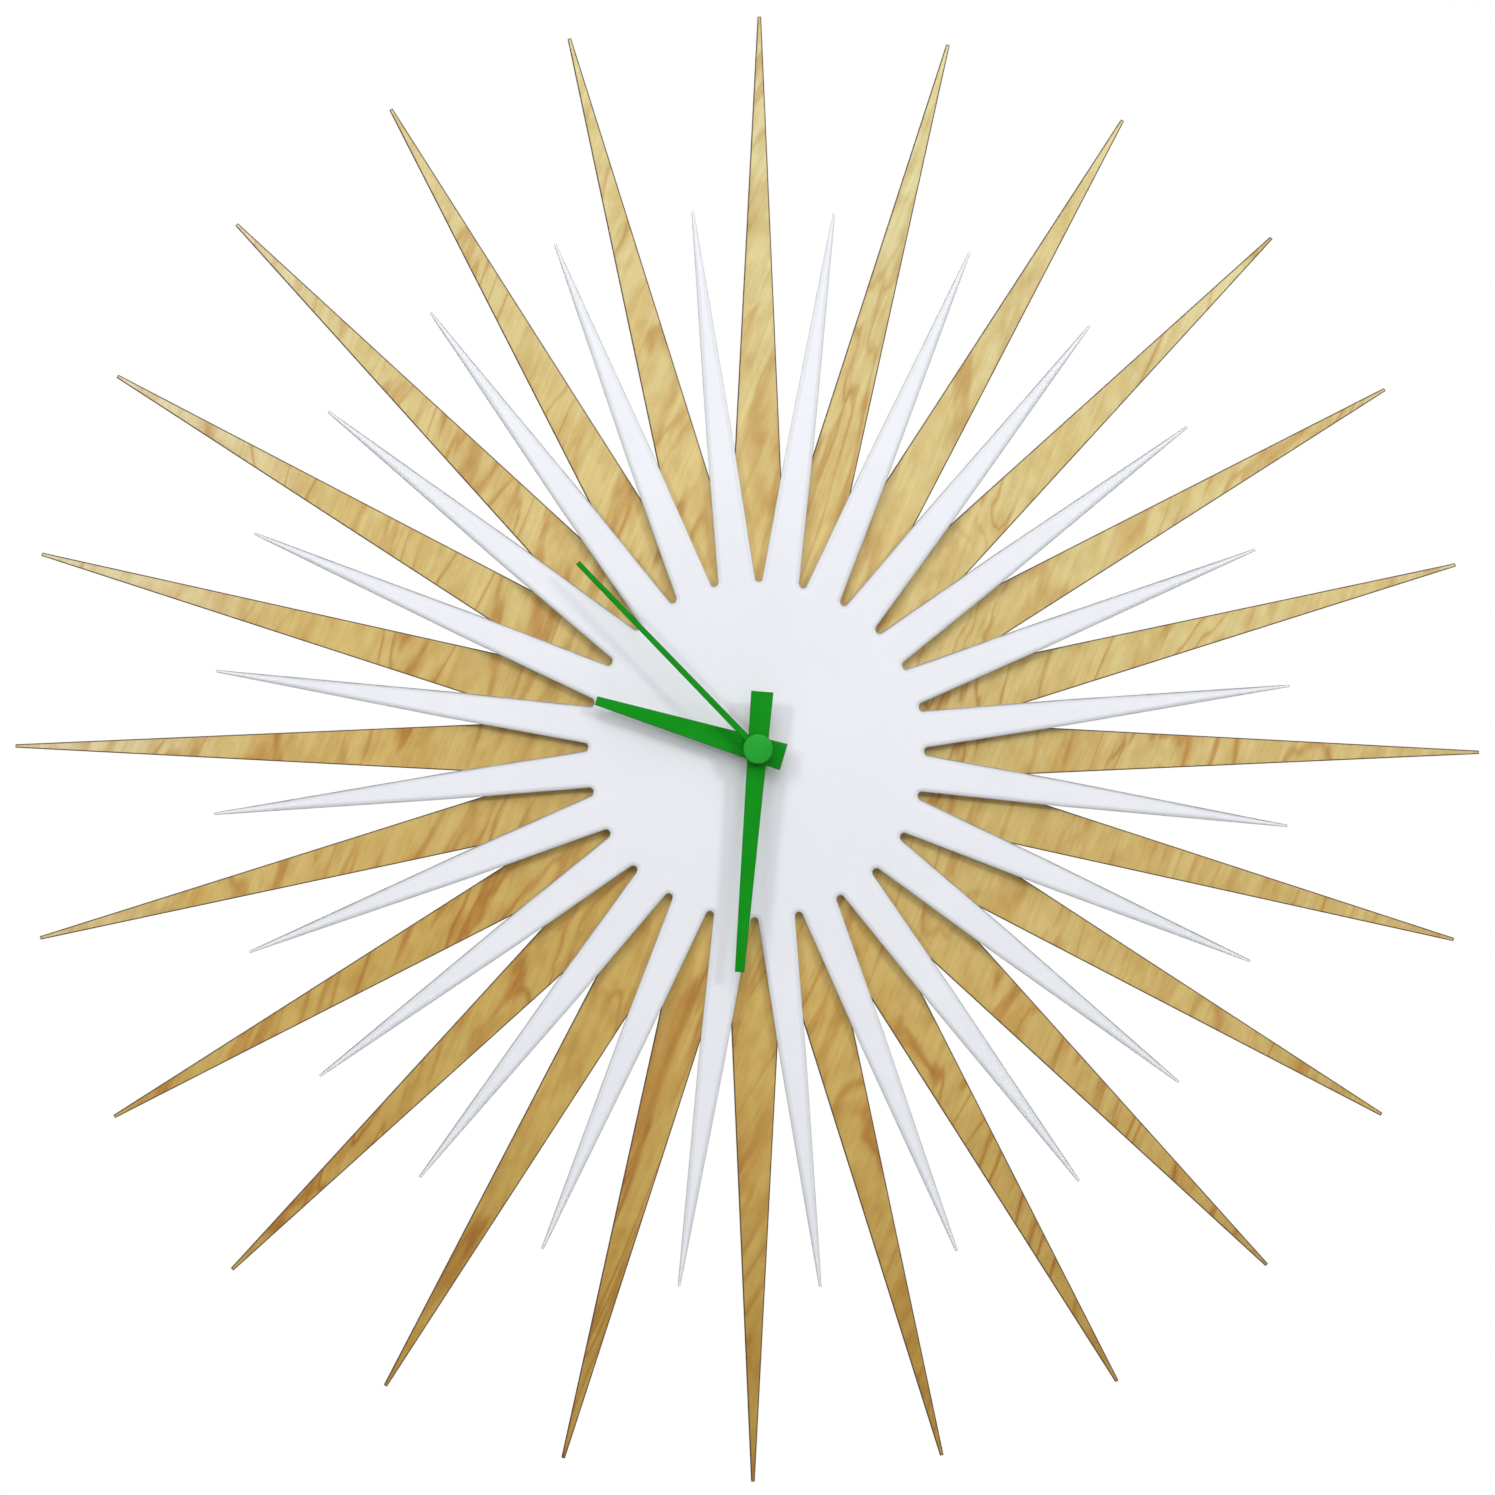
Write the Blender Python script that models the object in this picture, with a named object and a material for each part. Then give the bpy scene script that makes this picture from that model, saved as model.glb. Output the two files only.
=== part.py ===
"""Sunburst wall clock: two layered sunbursts, a set of hands and a quartz movement.

Sizes are millimetres, which the mesh helpers turn into Blender's metres. +Z is up, the dial
faces -Y, and the wall is the plane y = 0. The hands turn about the Y axis through the origin.
Clock angles run clockwise from 12, seen from the front, as a turn about +Y does.
"""

from math import acos, atan2, cos, hypot, pi, radians, sin

import bmesh
import bpy

MM = 0.001
GAP = 0.3                     # clearance between pieces that touch on the real clock
TURN = 2 * pi
ROUND = 32                    # sides of a large round piece
SMALL_ROUND = 16              # sides of a post or a small hole
PIPE_ROUND = 24               # sides of a pipe
ARBOR_ROUND = 12              # sides of an arbor
SHARP_ANGLE = radians(30)
MERGE_DISTANCE = 1e-6         # metres

# Sunbursts
RAYS = 24
RAY_PITCH = TURN / RAYS
CENTRE_HOLE_RADIUS = 4.2
WOOD_THICKNESS = 3.2
WOOD_TIP_RADIUS = 292.0
WOOD_TIP_WIDTH = 1.4
WOOD_TAPER = 0.0962           # ray width lost for each millimetre outwards
ACRYLIC_THICKNESS = 3.0
ACRYLIC_TURN = RAY_PITCH / 2 + radians(0.47)
ACRYLIC_TIP_RADIUS = 215.5
ACRYLIC_TIP_WIDTH = 1.0
ACRYLIC_SHOULDER_RADIUS = 123.5
ACRYLIC_SHOULDER_WIDTH = 10.5
NOTCH_ROOT_RADIUS = 66.9
NOTCH_FILLET = 1.6
NOTCH_ARC_STEPS = 8

# Hands: length, tail, width at the tail's end, width at the tip
HOUR_HAND = (66.5, 10.9, 10.8, 3.6)
MINUTE_HAND = (88.2, 22.8, 8.8, 3.7)
SECOND_HAND_LENGTH = 101.9
SECOND_HAND_WIDTHS = (2.6, 2.0)
SECOND_HAND_BOSS = (2.6, 1.4)  # radii of its disc and of its collar
HOUR_HAND_ANGLE = radians(286.5)
MINUTE_HAND_ANGLE = radians(184.4)
SECOND_HAND_ANGLE = radians(315.7)
HAND_THICKNESS = 0.8
SECOND_HAND_THICKNESS = 0.4
COLLAR_LENGTH = 0.9
HOUR_COLLAR_RADIUS = 3.9
MINUTE_COLLAR_RADIUS = 3.0
HAND_CLEARANCE = 0.25         # between a hand's hole and its pipe
PIPE_END = 0.4                # how far a pipe stands out of its hand
CAP_RADIUS = 6.0
CAP_THICKNESS = 1.1
CAP_EDGE = 0.7                # radius of its rounded edge
CAP_EDGE_STEPS = 2

# Movement case
CASE_HALF = 28.0
CASE_CORNER = 3.0
CASE_DEPTH = 16.0
CASE_SIDE_WALL = 1.2
CASE_FRONT_WALL = 1.0
BAY_DIVIDER = (-12.0, -11.0)  # z of the wall between the battery and the train
COVER_THICKNESS = 1.4
COVER_CORNER = 1.5
CORNER_STEPS = 4

# Clamp through the dial
HANGER_THICKNESS = 0.8
HANGER_HALF_WIDTH = 13.0
HANGER_BOTTOM = -14.0
HANGER_TOP = 50.0
KEYHOLE_CENTRE = 37.5
KEYHOLE_RADIUS = 4.0
KEYHOLE_SLOT_RADIUS = 1.9
KEYHOLE_SLOT_TOP = 44.5
RUBBER_WASHER = (11.0, 1.0)   # outer radius, thickness
BRASS_WASHER = (5.7, 0.5)
NUT_ACROSS_FLATS = 10.0
NUT_THICKNESS = 2.0
TUBE_RADIUS = 3.9
TUBE_BORE = 2.75

# Depth of each layer, from the wall towards the dial's front
CASE_FRONT = -CASE_DEPTH
CASE_INSIDE = CASE_FRONT + CASE_FRONT_WALL
COVER_INSIDE = -COVER_THICKNESS
HANGER_BACK = CASE_FRONT - GAP
HANGER_FRONT = HANGER_BACK - HANGER_THICKNESS
RUBBER_BACK = HANGER_FRONT - GAP
WOOD_BACK = RUBBER_BACK - RUBBER_WASHER[1] - GAP
ACRYLIC_BACK = WOOD_BACK - WOOD_THICKNESS - GAP
BRASS_BACK = ACRYLIC_BACK - ACRYLIC_THICKNESS - GAP
NUT_BACK = BRASS_BACK - BRASS_WASHER[1] - GAP
TUBE_FRONT = NUT_BACK - NUT_THICKNESS - 2 * GAP
HOUR_COLLAR_BACK = TUBE_FRONT - GAP
HOUR_HAND_BACK = HOUR_COLLAR_BACK - COLLAR_LENGTH
HOUR_PIPE_FRONT = HOUR_HAND_BACK - HAND_THICKNESS - PIPE_END
MINUTE_COLLAR_BACK = HOUR_PIPE_FRONT - GAP
MINUTE_HAND_BACK = MINUTE_COLLAR_BACK - COLLAR_LENGTH
MINUTE_PIPE_FRONT = MINUTE_HAND_BACK - HAND_THICKNESS - PIPE_END
SECOND_COLLAR_BACK = MINUTE_PIPE_FRONT - GAP
SECOND_HAND_BACK = SECOND_COLLAR_BACK - COLLAR_LENGTH
ARBOR_FRONT = SECOND_HAND_BACK - SECOND_HAND_THICKNESS / 2
CAP_BACK = SECOND_HAND_BACK - SECOND_HAND_THICKNESS - GAP

# Levels of the gear train as (front, back), counted from the case's front wall
HOUR_LEVEL = (-14.6, -13.7)
MINUTE_LEVEL = (-13.3, -12.5)
CENTRE_LEVEL = (-12.1, -11.3)
THIRD_LEVEL = (-10.9, -10.1)
MID_PLATE = (-9.7, -8.9)
SECONDS_LEVEL = (-8.5, -7.7)
INTERMEDIATE_LEVEL = (-7.3, -6.5)
MAGNET_LEVEL = (-6.0, -3.9)
STATOR_LEVEL = (-5.4, -4.6)
BRIDGE = (-3.5, -2.7)
KNOB_LEVEL = (-2.2, -0.4)

# Tooth shapes: addendum, dedendum (in modules), root and tip width (in tooth pitches)
WHEEL_TOOTH = (0.85, 1.1, 0.56, 0.18)
PINION_TOOTH = (0.70, 1.1, 0.56, 0.20)

# Teeth of each wheel and pinion, and the distances between their axes
CENTRE_TEETH, THIRD_PINION_TEETH = 64, 8
THIRD_TEETH, SECONDS_PINION_TEETH = 60, 8
SECONDS_TEETH, INTERMEDIATE_PINION_TEETH = 40, 8
INTERMEDIATE_TEETH, ROTOR_PINION_TEETH = 48, 8
CANNON_TEETH, MINUTE_WHEEL_TEETH = 12, 36
MOTION_PINION_TEETH, HOUR_TEETH = 10, 40
THIRD_DISTANCE, THIRD_BEARING = 9.0, radians(-45)
INTERMEDIATE_DISTANCE, INTERMEDIATE_BEARING = 6.0, radians(50)
ROTOR_DISTANCE, ROTOR_BEARING = 5.6, radians(30)
MOTION_DISTANCE, MOTION_BEARING = 9.6, radians(105)

# Round parts of the train
HOUR_PIPE = (2.5, 1.9)        # outer and inner radius
MINUTE_PIPE = (1.65, 0.85)
SECONDS_ARBOR_RADIUS = 0.55
ARBOR_RADIUS = 0.45
PIVOT_RADIUS = 0.3
PIVOT_LENGTH = 0.9
PIVOT_DEPTH = 0.5             # how far a pivot reaches into the case's front wall
BORE_CLEARANCE = 0.2
OVERSHOOT = 1.0               # how far a cutter passes the faces it cuts through
OVERLAP = 0.4                 # how far a joined solid reaches into its piece
END_PLAY = 0.1                # how far an arbor's end stays inside its plate's outer face
ROTOR_ARBOR_RADIUS = 0.4
SETTING_SHAFT_RADIUS = 0.8
MAGNET_RADIUS = 3.0
KNOB_RADIUS = 4.7
KNOB_RIBS = 20
KNOB_RIB_DEPTH = 0.35
KNOB_HOLE_RADIUS = 5.2

# Posts that carry the plates, as (x, z)
TRAIN_POSTS = ((-14.5, -7.0), (15.0, 5.5), (-14.5, 15.5))
BOARD_POSTS = ((-22.0, -5.5), (-22.0, 19.0))
POST_RADIUS = 1.5
POST_NECK_RADIUS = 0.9
POST_TIP_RADIUS = 0.45
PLATE_OUTLINE = ((-17.5, -9.8), (11.5, -9.8), (18.0, -2.0), (18.0, 9.5),
                 (12.0, 14.0), (-4.0, 14.0), (-11.0, 18.5), (-17.5, 18.5))

# Step motor
STATOR_HOLE = 3.6
STATOR_ARC = 4.8
STATOR_LEFT, STATOR_RIGHT = -8.0, 18.0
STATOR_LEG = 2.8
STATOR_BAR = (11.0, 15.5)     # z of the bar's lower and upper edge
STATOR_TOP = 22.0
COIL_CENTRE = (5.0, -6.1, 20.5)
COIL_HALF_LENGTH = 9.8
FLANGE_HALF = 3.9
FLANGE_THICKNESS = 1.0
CORE_SECTION = (0.8, 3.0)     # depth along Y, height along Z
BOBBIN_BORE = (1.4, 3.6)
BOBBIN_TUBE = (2.2, 4.4)
WINDING_RADII = (2.8, 3.6)

# Circuit and battery
BOARD = (-26.3, -17.9, -9.5, 23.0)   # left, right, bottom, top
BOARD_LEVEL = (-6.4, -5.6)
CHIP_CENTRE = (-22.0, 4.0)
CHIP_RADIUS = 2.8
CHIP_HEIGHT = 1.1
CHIP_DOME_ANGLES = (0.0, radians(35), radians(65))
CRYSTAL_CENTRE = (-22.0, 13.0)
CRYSTAL_RADIUS = 1.0
CRYSTAL_LENGTH = 6.0
BATTERY_RADIUS = 7.1
BATTERY_CENTRE = (-7.7, -19.4)       # y, z
BATTERY_ENDS = (-25.2, 24.2)         # x of the can's two ends
TERMINAL_RADIUS = 2.75
TERMINAL_LENGTH = 0.9
CONTACT_THICKNESS = 0.4
CONTACT_HALF_HEIGHT = 4.0
CONTACT_BOW = 0.5
CONTACT_MARGIN = 1.5                 # from the bay's front wall and from its mouth
CAN_ROUNDING = 0.5


# Materials: colour, roughness, metallic

FINISHES = {
    "maple": ((0.74, 0.55, 0.31), 0.55, 0.0),
    "white_acrylic": ((0.84, 0.86, 0.89), 0.35, 0.0),
    "green_paint": ((0.01, 0.30, 0.03), 0.5, 0.0),
    "cap_green": ((0.03, 0.36, 0.05), 0.45, 0.0),
    "black_plastic": ((0.02, 0.02, 0.022), 0.5, 0.0),
    "grey_plastic": ((0.30, 0.31, 0.32), 0.5, 0.0),
    "white_plastic": ((0.80, 0.80, 0.76), 0.45, 0.0),
    "rubber": ((0.02, 0.02, 0.02), 0.85, 0.0),
    "zinc_steel": ((0.62, 0.63, 0.65), 0.35, 1.0),
    "brass": ((0.78, 0.58, 0.25), 0.3, 1.0),
    "copper": ((0.80, 0.38, 0.20), 0.35, 1.0),
    "dark_magnet": ((0.06, 0.06, 0.07), 0.5, 0.6),
    "board_green": ((0.02, 0.16, 0.07), 0.45, 0.0),
    "black_epoxy": ((0.012, 0.012, 0.013), 0.3, 0.0),
    "battery_wrap": ((0.05, 0.07, 0.10), 0.35, 0.0),
}


def make_material(name):
    """A Principled material with the finish's colour, roughness and metallic value."""
    colour, roughness, metallic = FINISHES[name]
    material = bpy.data.materials.new(name)
    material.use_nodes = True
    shader = material.node_tree.nodes["Principled BSDF"]
    shader.inputs["Base Color"].default_value = (*colour, 1.0)
    shader.inputs["Roughness"].default_value = roughness
    shader.inputs["Metallic"].default_value = metallic
    material.diffuse_color = (*colour, 1.0)
    return material


# Outlines: lists of (x, z) points

def clock_point(radius, angle):
    """The point at a radius and a clock angle."""
    return (radius * sin(angle), radius * cos(angle))


def circle(radius, centre=(0.0, 0.0), steps=ROUND):
    """A full circle."""
    points = []
    for step in range(steps):
        x, z = clock_point(radius, TURN * step / steps)
        points.append((centre[0] + x, centre[1] + z))
    return points


def rectangle(left, right, bottom, top, corner=0.0):
    """A rectangle, with rounded corners where a corner radius is given."""
    if corner == 0.0:
        return [(left, bottom), (left, top), (right, top), (right, bottom)]
    centres = ((left + corner, bottom + corner, 0.5), (left + corner, top - corner, 0.75),
               (right - corner, top - corner, 0.0), (right - corner, bottom + corner, 0.25))
    points = []
    for x, z, start in centres:
        for step in range(CORNER_STEPS + 1):
            dx, dz = clock_point(corner, TURN * start + TURN / 4 * step / CORNER_STEPS)
            points.append((x + dx, z + dz))
    return points


def ray_point(ray_angle, radius, offset):
    """A point beside a ray's centre line: radius along it, offset across it, clockwise."""
    x = radius * sin(ray_angle) + offset * cos(ray_angle)
    z = radius * cos(ray_angle) - offset * sin(ray_angle)
    return (x, z)


def wood_outline():
    """24 straight-tapered rays whose edges meet in sharp notches."""
    base_width = WOOD_TIP_WIDTH + WOOD_TAPER * WOOD_TIP_RADIUS
    half_angle = RAY_PITCH / 2
    notch_along = base_width / (WOOD_TAPER + 2 * sin(half_angle) / cos(half_angle))
    notch_radius = notch_along / cos(half_angle)
    points = []
    for ray in range(RAYS):
        angle = ray * RAY_PITCH
        points.append(ray_point(angle, WOOD_TIP_RADIUS, -WOOD_TIP_WIDTH / 2))
        points.append(ray_point(angle, WOOD_TIP_RADIUS, WOOD_TIP_WIDTH / 2))
        points.append(clock_point(notch_radius, angle + half_angle))
    return points


def notch_fillet_angle():
    """Half the arc that a notch's round end takes, up to where the straight edges touch it."""
    half_pitch = RAY_PITCH / 2
    shoulder_x = ACRYLIC_SHOULDER_RADIUS * sin(half_pitch)
    shoulder_x -= ACRYLIC_SHOULDER_WIDTH / 2 * cos(half_pitch)
    shoulder_z = ACRYLIC_SHOULDER_RADIUS * cos(half_pitch)
    shoulder_z += ACRYLIC_SHOULDER_WIDTH / 2 * sin(half_pitch)
    rise = shoulder_z - NOTCH_ROOT_RADIUS - NOTCH_FILLET
    to_shoulder = atan2(shoulder_x, rise)
    return pi - to_shoulder - acos(NOTCH_FILLET / hypot(shoulder_x, rise))


def acrylic_outline():
    """24 pointed rays with a slight shoulder, and notches with round ends between them."""
    fillet_half = notch_fillet_angle()
    points = []
    for ray in range(RAYS):
        angle = ray * RAY_PITCH
        points.append(ray_point(angle, ACRYLIC_SHOULDER_RADIUS, -ACRYLIC_SHOULDER_WIDTH / 2))
        points.append(ray_point(angle, ACRYLIC_TIP_RADIUS, -ACRYLIC_TIP_WIDTH / 2))
        points.append(ray_point(angle, ACRYLIC_TIP_RADIUS, ACRYLIC_TIP_WIDTH / 2))
        points.append(ray_point(angle, ACRYLIC_SHOULDER_RADIUS, ACRYLIC_SHOULDER_WIDTH / 2))
        notch_angle = angle + RAY_PITCH / 2
        fillet_centre = NOTCH_ROOT_RADIUS + NOTCH_FILLET
        for step in range(NOTCH_ARC_STEPS + 1):
            swing = fillet_half * (2 * step / NOTCH_ARC_STEPS - 1)
            along = fillet_centre - NOTCH_FILLET * cos(swing)
            points.append(ray_point(notch_angle, along, NOTCH_FILLET * sin(swing)))
    return points


def hand_outline(length, tail, tail_width, tip_width):
    """A straight-tapered hand with square ends, pointing at 12."""
    return [(-tail_width / 2, -tail), (-tip_width / 2, length),
            (tip_width / 2, length), (tail_width / 2, -tail)]


def gear_outline(teeth, module, tooth):
    """A gear with four points a tooth and one tooth centred on clock angle 0."""
    addendum, dedendum, root_share, tip_share = tooth
    pitch = TURN / teeth
    pitch_radius = module * teeth / 2
    root_radius = pitch_radius - dedendum * module
    tip_radius = pitch_radius + addendum * module
    points = []
    for index in range(teeth):
        centre = index * pitch
        points.append(clock_point(root_radius, centre - root_share * pitch / 2))
        points.append(clock_point(tip_radius, centre - tip_share * pitch / 2))
        points.append(clock_point(tip_radius, centre + tip_share * pitch / 2))
        points.append(clock_point(root_radius, centre + root_share * pitch / 2))
    return points


def knob_outline():
    """The knob's ribbed rim."""
    points = []
    for index in range(2 * KNOB_RIBS):
        radius = KNOB_RADIUS - KNOB_RIB_DEPTH * (index % 2)
        points.append(clock_point(radius, TURN * index / (2 * KNOB_RIBS)))
    return points


def keyhole_outline():
    """A round hole that runs up into a narrow slot with a round end."""
    neck = acos(KEYHOLE_SLOT_RADIUS / KEYHOLE_RADIUS)
    points = []
    steps = 2 * CORNER_STEPS
    for step in range(2 * steps + 1):
        angle = pi / 2 - neck + (TURN - pi + 2 * neck) * step / (2 * steps)
        x, z = clock_point(KEYHOLE_RADIUS, angle)
        points.append((x, KEYHOLE_CENTRE + z))
    for step in range(steps + 1):
        x, z = clock_point(KEYHOLE_SLOT_RADIUS, pi * step / steps - pi / 2)
        points.append((x, KEYHOLE_SLOT_TOP + z))
    return points


def stator_outline():
    """A bar with two legs up to the coil and a round lobe about the rotor."""
    rotor_x, rotor_z = ROTOR_AXIS
    bar_bottom, bar_top = STATOR_BAR
    half_chord = acos((rotor_z - bar_bottom) / STATOR_ARC)
    points = [(STATOR_LEFT, STATOR_TOP), (STATOR_LEFT + STATOR_LEG, STATOR_TOP),
              (STATOR_LEFT + STATOR_LEG, bar_top), (STATOR_RIGHT - STATOR_LEG, bar_top),
              (STATOR_RIGHT - STATOR_LEG, STATOR_TOP), (STATOR_RIGHT, STATOR_TOP),
              (STATOR_RIGHT, bar_bottom)]
    lobe_start = pi - half_chord
    steps = SMALL_ROUND
    for step in range(steps + 1):
        x, z = clock_point(STATOR_ARC, lobe_start + (TURN - 2 * lobe_start) * step / steps)
        points.append((rotor_x + x, rotor_z + z))
    points.append((STATOR_LEFT, bar_bottom))
    return points


# Meshes

def faces_of(geometry):
    """The faces among a bmesh operator's results."""
    return [item for item in geometry if isinstance(item, bmesh.types.BMFace)]


def verts_of(geometry):
    """The vertices among a bmesh operator's results."""
    return [item for item in geometry if isinstance(item, bmesh.types.BMVert)]


def plate(loops, front, back):
    """A flat solid between two Y levels: an outer loop of (x, z) points, then its holes."""
    mesh = bmesh.new()
    edges = []
    for loop in loops:
        verts = [mesh.verts.new((x * MM, front * MM, z * MM)) for x, z in loop]
        edges += [mesh.edges.new((verts[i - 1], verts[i])) for i in range(len(verts))]
    filled = bmesh.ops.triangle_fill(mesh, edges=edges, use_beauty=True, normal=(0, -1, 0))
    extruded = bmesh.ops.extrude_face_region(mesh, geom=faces_of(filled["geom"]))
    depth = (0, (back - front) * MM, 0)
    bmesh.ops.translate(mesh, verts=verts_of(extruded["geom"]), vec=depth)
    bmesh.ops.recalc_face_normals(mesh, faces=mesh.faces)
    return mesh


def turned(profile, steps=ROUND):
    """A full round solid: (radius, y) points from one end to the other, spun about Y."""
    mesh = bmesh.new()
    points = [(0.0, profile[0][1]), *profile, (0.0, profile[-1][1])]
    verts = [mesh.verts.new((radius * MM, y * MM, 0)) for radius, y in points]
    edges = [mesh.edges.new(pair) for pair in zip(verts, verts[1:])]
    bmesh.ops.spin(mesh, geom=verts + edges, cent=(0, 0, 0), axis=(0, 1, 0),
                   angle=TURN, steps=steps, use_merge=True)
    bmesh.ops.remove_doubles(mesh, verts=mesh.verts, dist=MERGE_DISTANCE)
    bmesh.ops.recalc_face_normals(mesh, faces=mesh.faces)
    return mesh


def ring(outer, inner, front, back, steps=ROUND):
    """A plain ring."""
    return plate([circle(outer, steps=steps), circle(inner, steps=steps)], front, back)


def bar_along_x(outline, left, right):
    """A full bar along X with a (y, z) outline."""
    mesh = bmesh.new()
    base = mesh.faces.new([mesh.verts.new((left * MM, y * MM, z * MM)) for y, z in outline])
    extruded = bmesh.ops.extrude_face_region(mesh, geom=[base])
    bmesh.ops.translate(mesh, verts=verts_of(extruded["geom"]), vec=((right - left) * MM, 0, 0))
    bmesh.ops.recalc_face_normals(mesh, faces=mesh.faces)
    return mesh


def upright(outline, bottom, top):
    """A full solid with an (x, y) outline between two heights."""
    mesh = bmesh.new()
    base = mesh.faces.new([mesh.verts.new((x * MM, y * MM, bottom * MM)) for x, y in outline])
    extruded = bmesh.ops.extrude_face_region(mesh, geom=[base])
    bmesh.ops.translate(mesh, verts=verts_of(extruded["geom"]), vec=(0, 0, (top - bottom) * MM))
    bmesh.ops.recalc_face_normals(mesh, faces=mesh.faces)
    return mesh


# Objects

def add_object(name, mesh, finish, axis=(0.0, 0.0), turn=0.0, parent=None):
    """Put a mesh in the scene on an axis given as (x, z), or at its parent's own axis."""
    data = bpy.data.meshes.new(name)
    mesh.to_mesh(data)
    mesh.free()
    data.materials.append(materials[finish])
    data.shade_smooth()
    data.set_sharp_from_angle(angle=SHARP_ANGLE)
    thing = bpy.data.objects.new(name, data)
    bpy.context.collection.objects.link(thing)
    thing.location = (axis[0] * MM, 0, axis[1] * MM)
    thing.rotation_euler = (0, turn, 0)
    thing.parent = parent
    return thing


def add_axis(name, axis=(0.0, 0.0)):
    """An empty on a joint's axis, which carries what turns there."""
    empty = bpy.data.objects.new(name, None)
    empty.empty_display_size = 0.01
    bpy.context.collection.objects.link(empty)
    empty.location = (axis[0] * MM, 0, axis[1] * MM)
    return empty


def combine(target, mesh, operation, axis=(0.0, 0.0)):
    """Join a helper solid to a piece, or cut it away, with a Boolean modifier."""
    name = f"{target.name}_{operation.lower()}_{len(target.modifiers)}"
    tool = add_object(name, mesh, target.data.materials[0].name, axis, parent=target)
    tool.hide_render = True
    tool.display_type = "WIRE"
    modifier = target.modifiers.new(name, "BOOLEAN")
    modifier.operation = operation
    modifier.solver = "EXACT"
    modifier.object = tool


# Where the axes of the train are, as (x, z)

def offset_axis(start, distance, bearing):
    """The axis at a distance and a clock angle from another."""
    x, z = clock_point(distance, bearing)
    return (start[0] + x, start[1] + z)


CENTRE_AXIS = (0.0, 0.0)
THIRD_AXIS = offset_axis(CENTRE_AXIS, THIRD_DISTANCE, THIRD_BEARING)
INTERMEDIATE_AXIS = offset_axis(CENTRE_AXIS, INTERMEDIATE_DISTANCE, INTERMEDIATE_BEARING)
ROTOR_AXIS = offset_axis(INTERMEDIATE_AXIS, ROTOR_DISTANCE, ROTOR_BEARING)
MOTION_AXIS = offset_axis(CENTRE_AXIS, MOTION_DISTANCE, MOTION_BEARING)


def mesh_module(distance, teeth_a, teeth_b):
    """The module that puts two meshed gears at a distance from each other."""
    return 2 * distance / (teeth_a + teeth_b)


CENTRE_MODULE = mesh_module(THIRD_DISTANCE, CENTRE_TEETH, THIRD_PINION_TEETH)
THIRD_MODULE = mesh_module(THIRD_DISTANCE, THIRD_TEETH, SECONDS_PINION_TEETH)
SECONDS_MODULE = mesh_module(INTERMEDIATE_DISTANCE, SECONDS_TEETH, INTERMEDIATE_PINION_TEETH)
ROTOR_MODULE = mesh_module(ROTOR_DISTANCE, INTERMEDIATE_TEETH, ROTOR_PINION_TEETH)
CANNON_MODULE = mesh_module(MOTION_DISTANCE, CANNON_TEETH, MINUTE_WHEEL_TEETH)
HOUR_MODULE = mesh_module(MOTION_DISTANCE, MOTION_PINION_TEETH, HOUR_TEETH)


def facing_gap(bearing, teeth):
    """The turn that points the space between two teeth along a bearing."""
    return bearing + pi / teeth


# The dial

def make_dial():
    """The wooden sunburst and the white one in front of it."""
    hole = circle(CENTRE_HOLE_RADIUS)
    wood = plate([wood_outline(), hole], WOOD_BACK - WOOD_THICKNESS, WOOD_BACK)
    add_object("wood_sunburst", wood, "maple")
    white = plate([acrylic_outline(), hole], ACRYLIC_BACK - ACRYLIC_THICKNESS, ACRYLIC_BACK)
    add_object("acrylic_sunburst", white, "white_acrylic", turn=ACRYLIC_TURN)


def make_clamp():
    """Hanger, washers and nut, which hold the movement to the dial."""
    tab_back = -HANGER_THICKNESS
    flange_bottom = CASE_HALF + GAP
    flange_top = flange_bottom + HANGER_THICKNESS
    profile = [(HANGER_FRONT, HANGER_BOTTOM), (HANGER_BACK, HANGER_BOTTOM),
               (HANGER_BACK, flange_bottom), (tab_back, flange_bottom),
               (tab_back, HANGER_TOP), (tab_back - HANGER_THICKNESS, HANGER_TOP),
               (tab_back - HANGER_THICKNESS, flange_top), (HANGER_FRONT, flange_top)]
    bracket = bar_along_x(profile, -HANGER_HALF_WIDTH, HANGER_HALF_WIDTH)
    hanger = add_object("hanger_plate", bracket, "zinc_steel")
    hole = circle(CENTRE_HOLE_RADIUS)
    combine(hanger, plate([hole], HANGER_FRONT - OVERSHOOT, HANGER_BACK + OVERSHOOT),
            "DIFFERENCE")
    keyhole = plate([keyhole_outline()], tab_back - HANGER_THICKNESS - OVERSHOOT,
                    tab_back + OVERSHOOT)
    combine(hanger, keyhole, "DIFFERENCE")

    outer, thickness = RUBBER_WASHER
    rubber = ring(outer, CENTRE_HOLE_RADIUS, RUBBER_BACK - thickness, RUBBER_BACK)
    add_object("rubber_washer", rubber, "rubber")
    outer, thickness = BRASS_WASHER
    washer = ring(outer, CENTRE_HOLE_RADIUS, BRASS_BACK - thickness, BRASS_BACK)
    add_object("brass_washer", washer, "brass")
    corner_radius = NUT_ACROSS_FLATS / 2 / cos(pi / 6)
    nut = plate([circle(corner_radius, steps=6), hole], NUT_BACK - NUT_THICKNESS, NUT_BACK)
    add_object("hex_nut", nut, "brass")


# The movement's fixed parts

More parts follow.
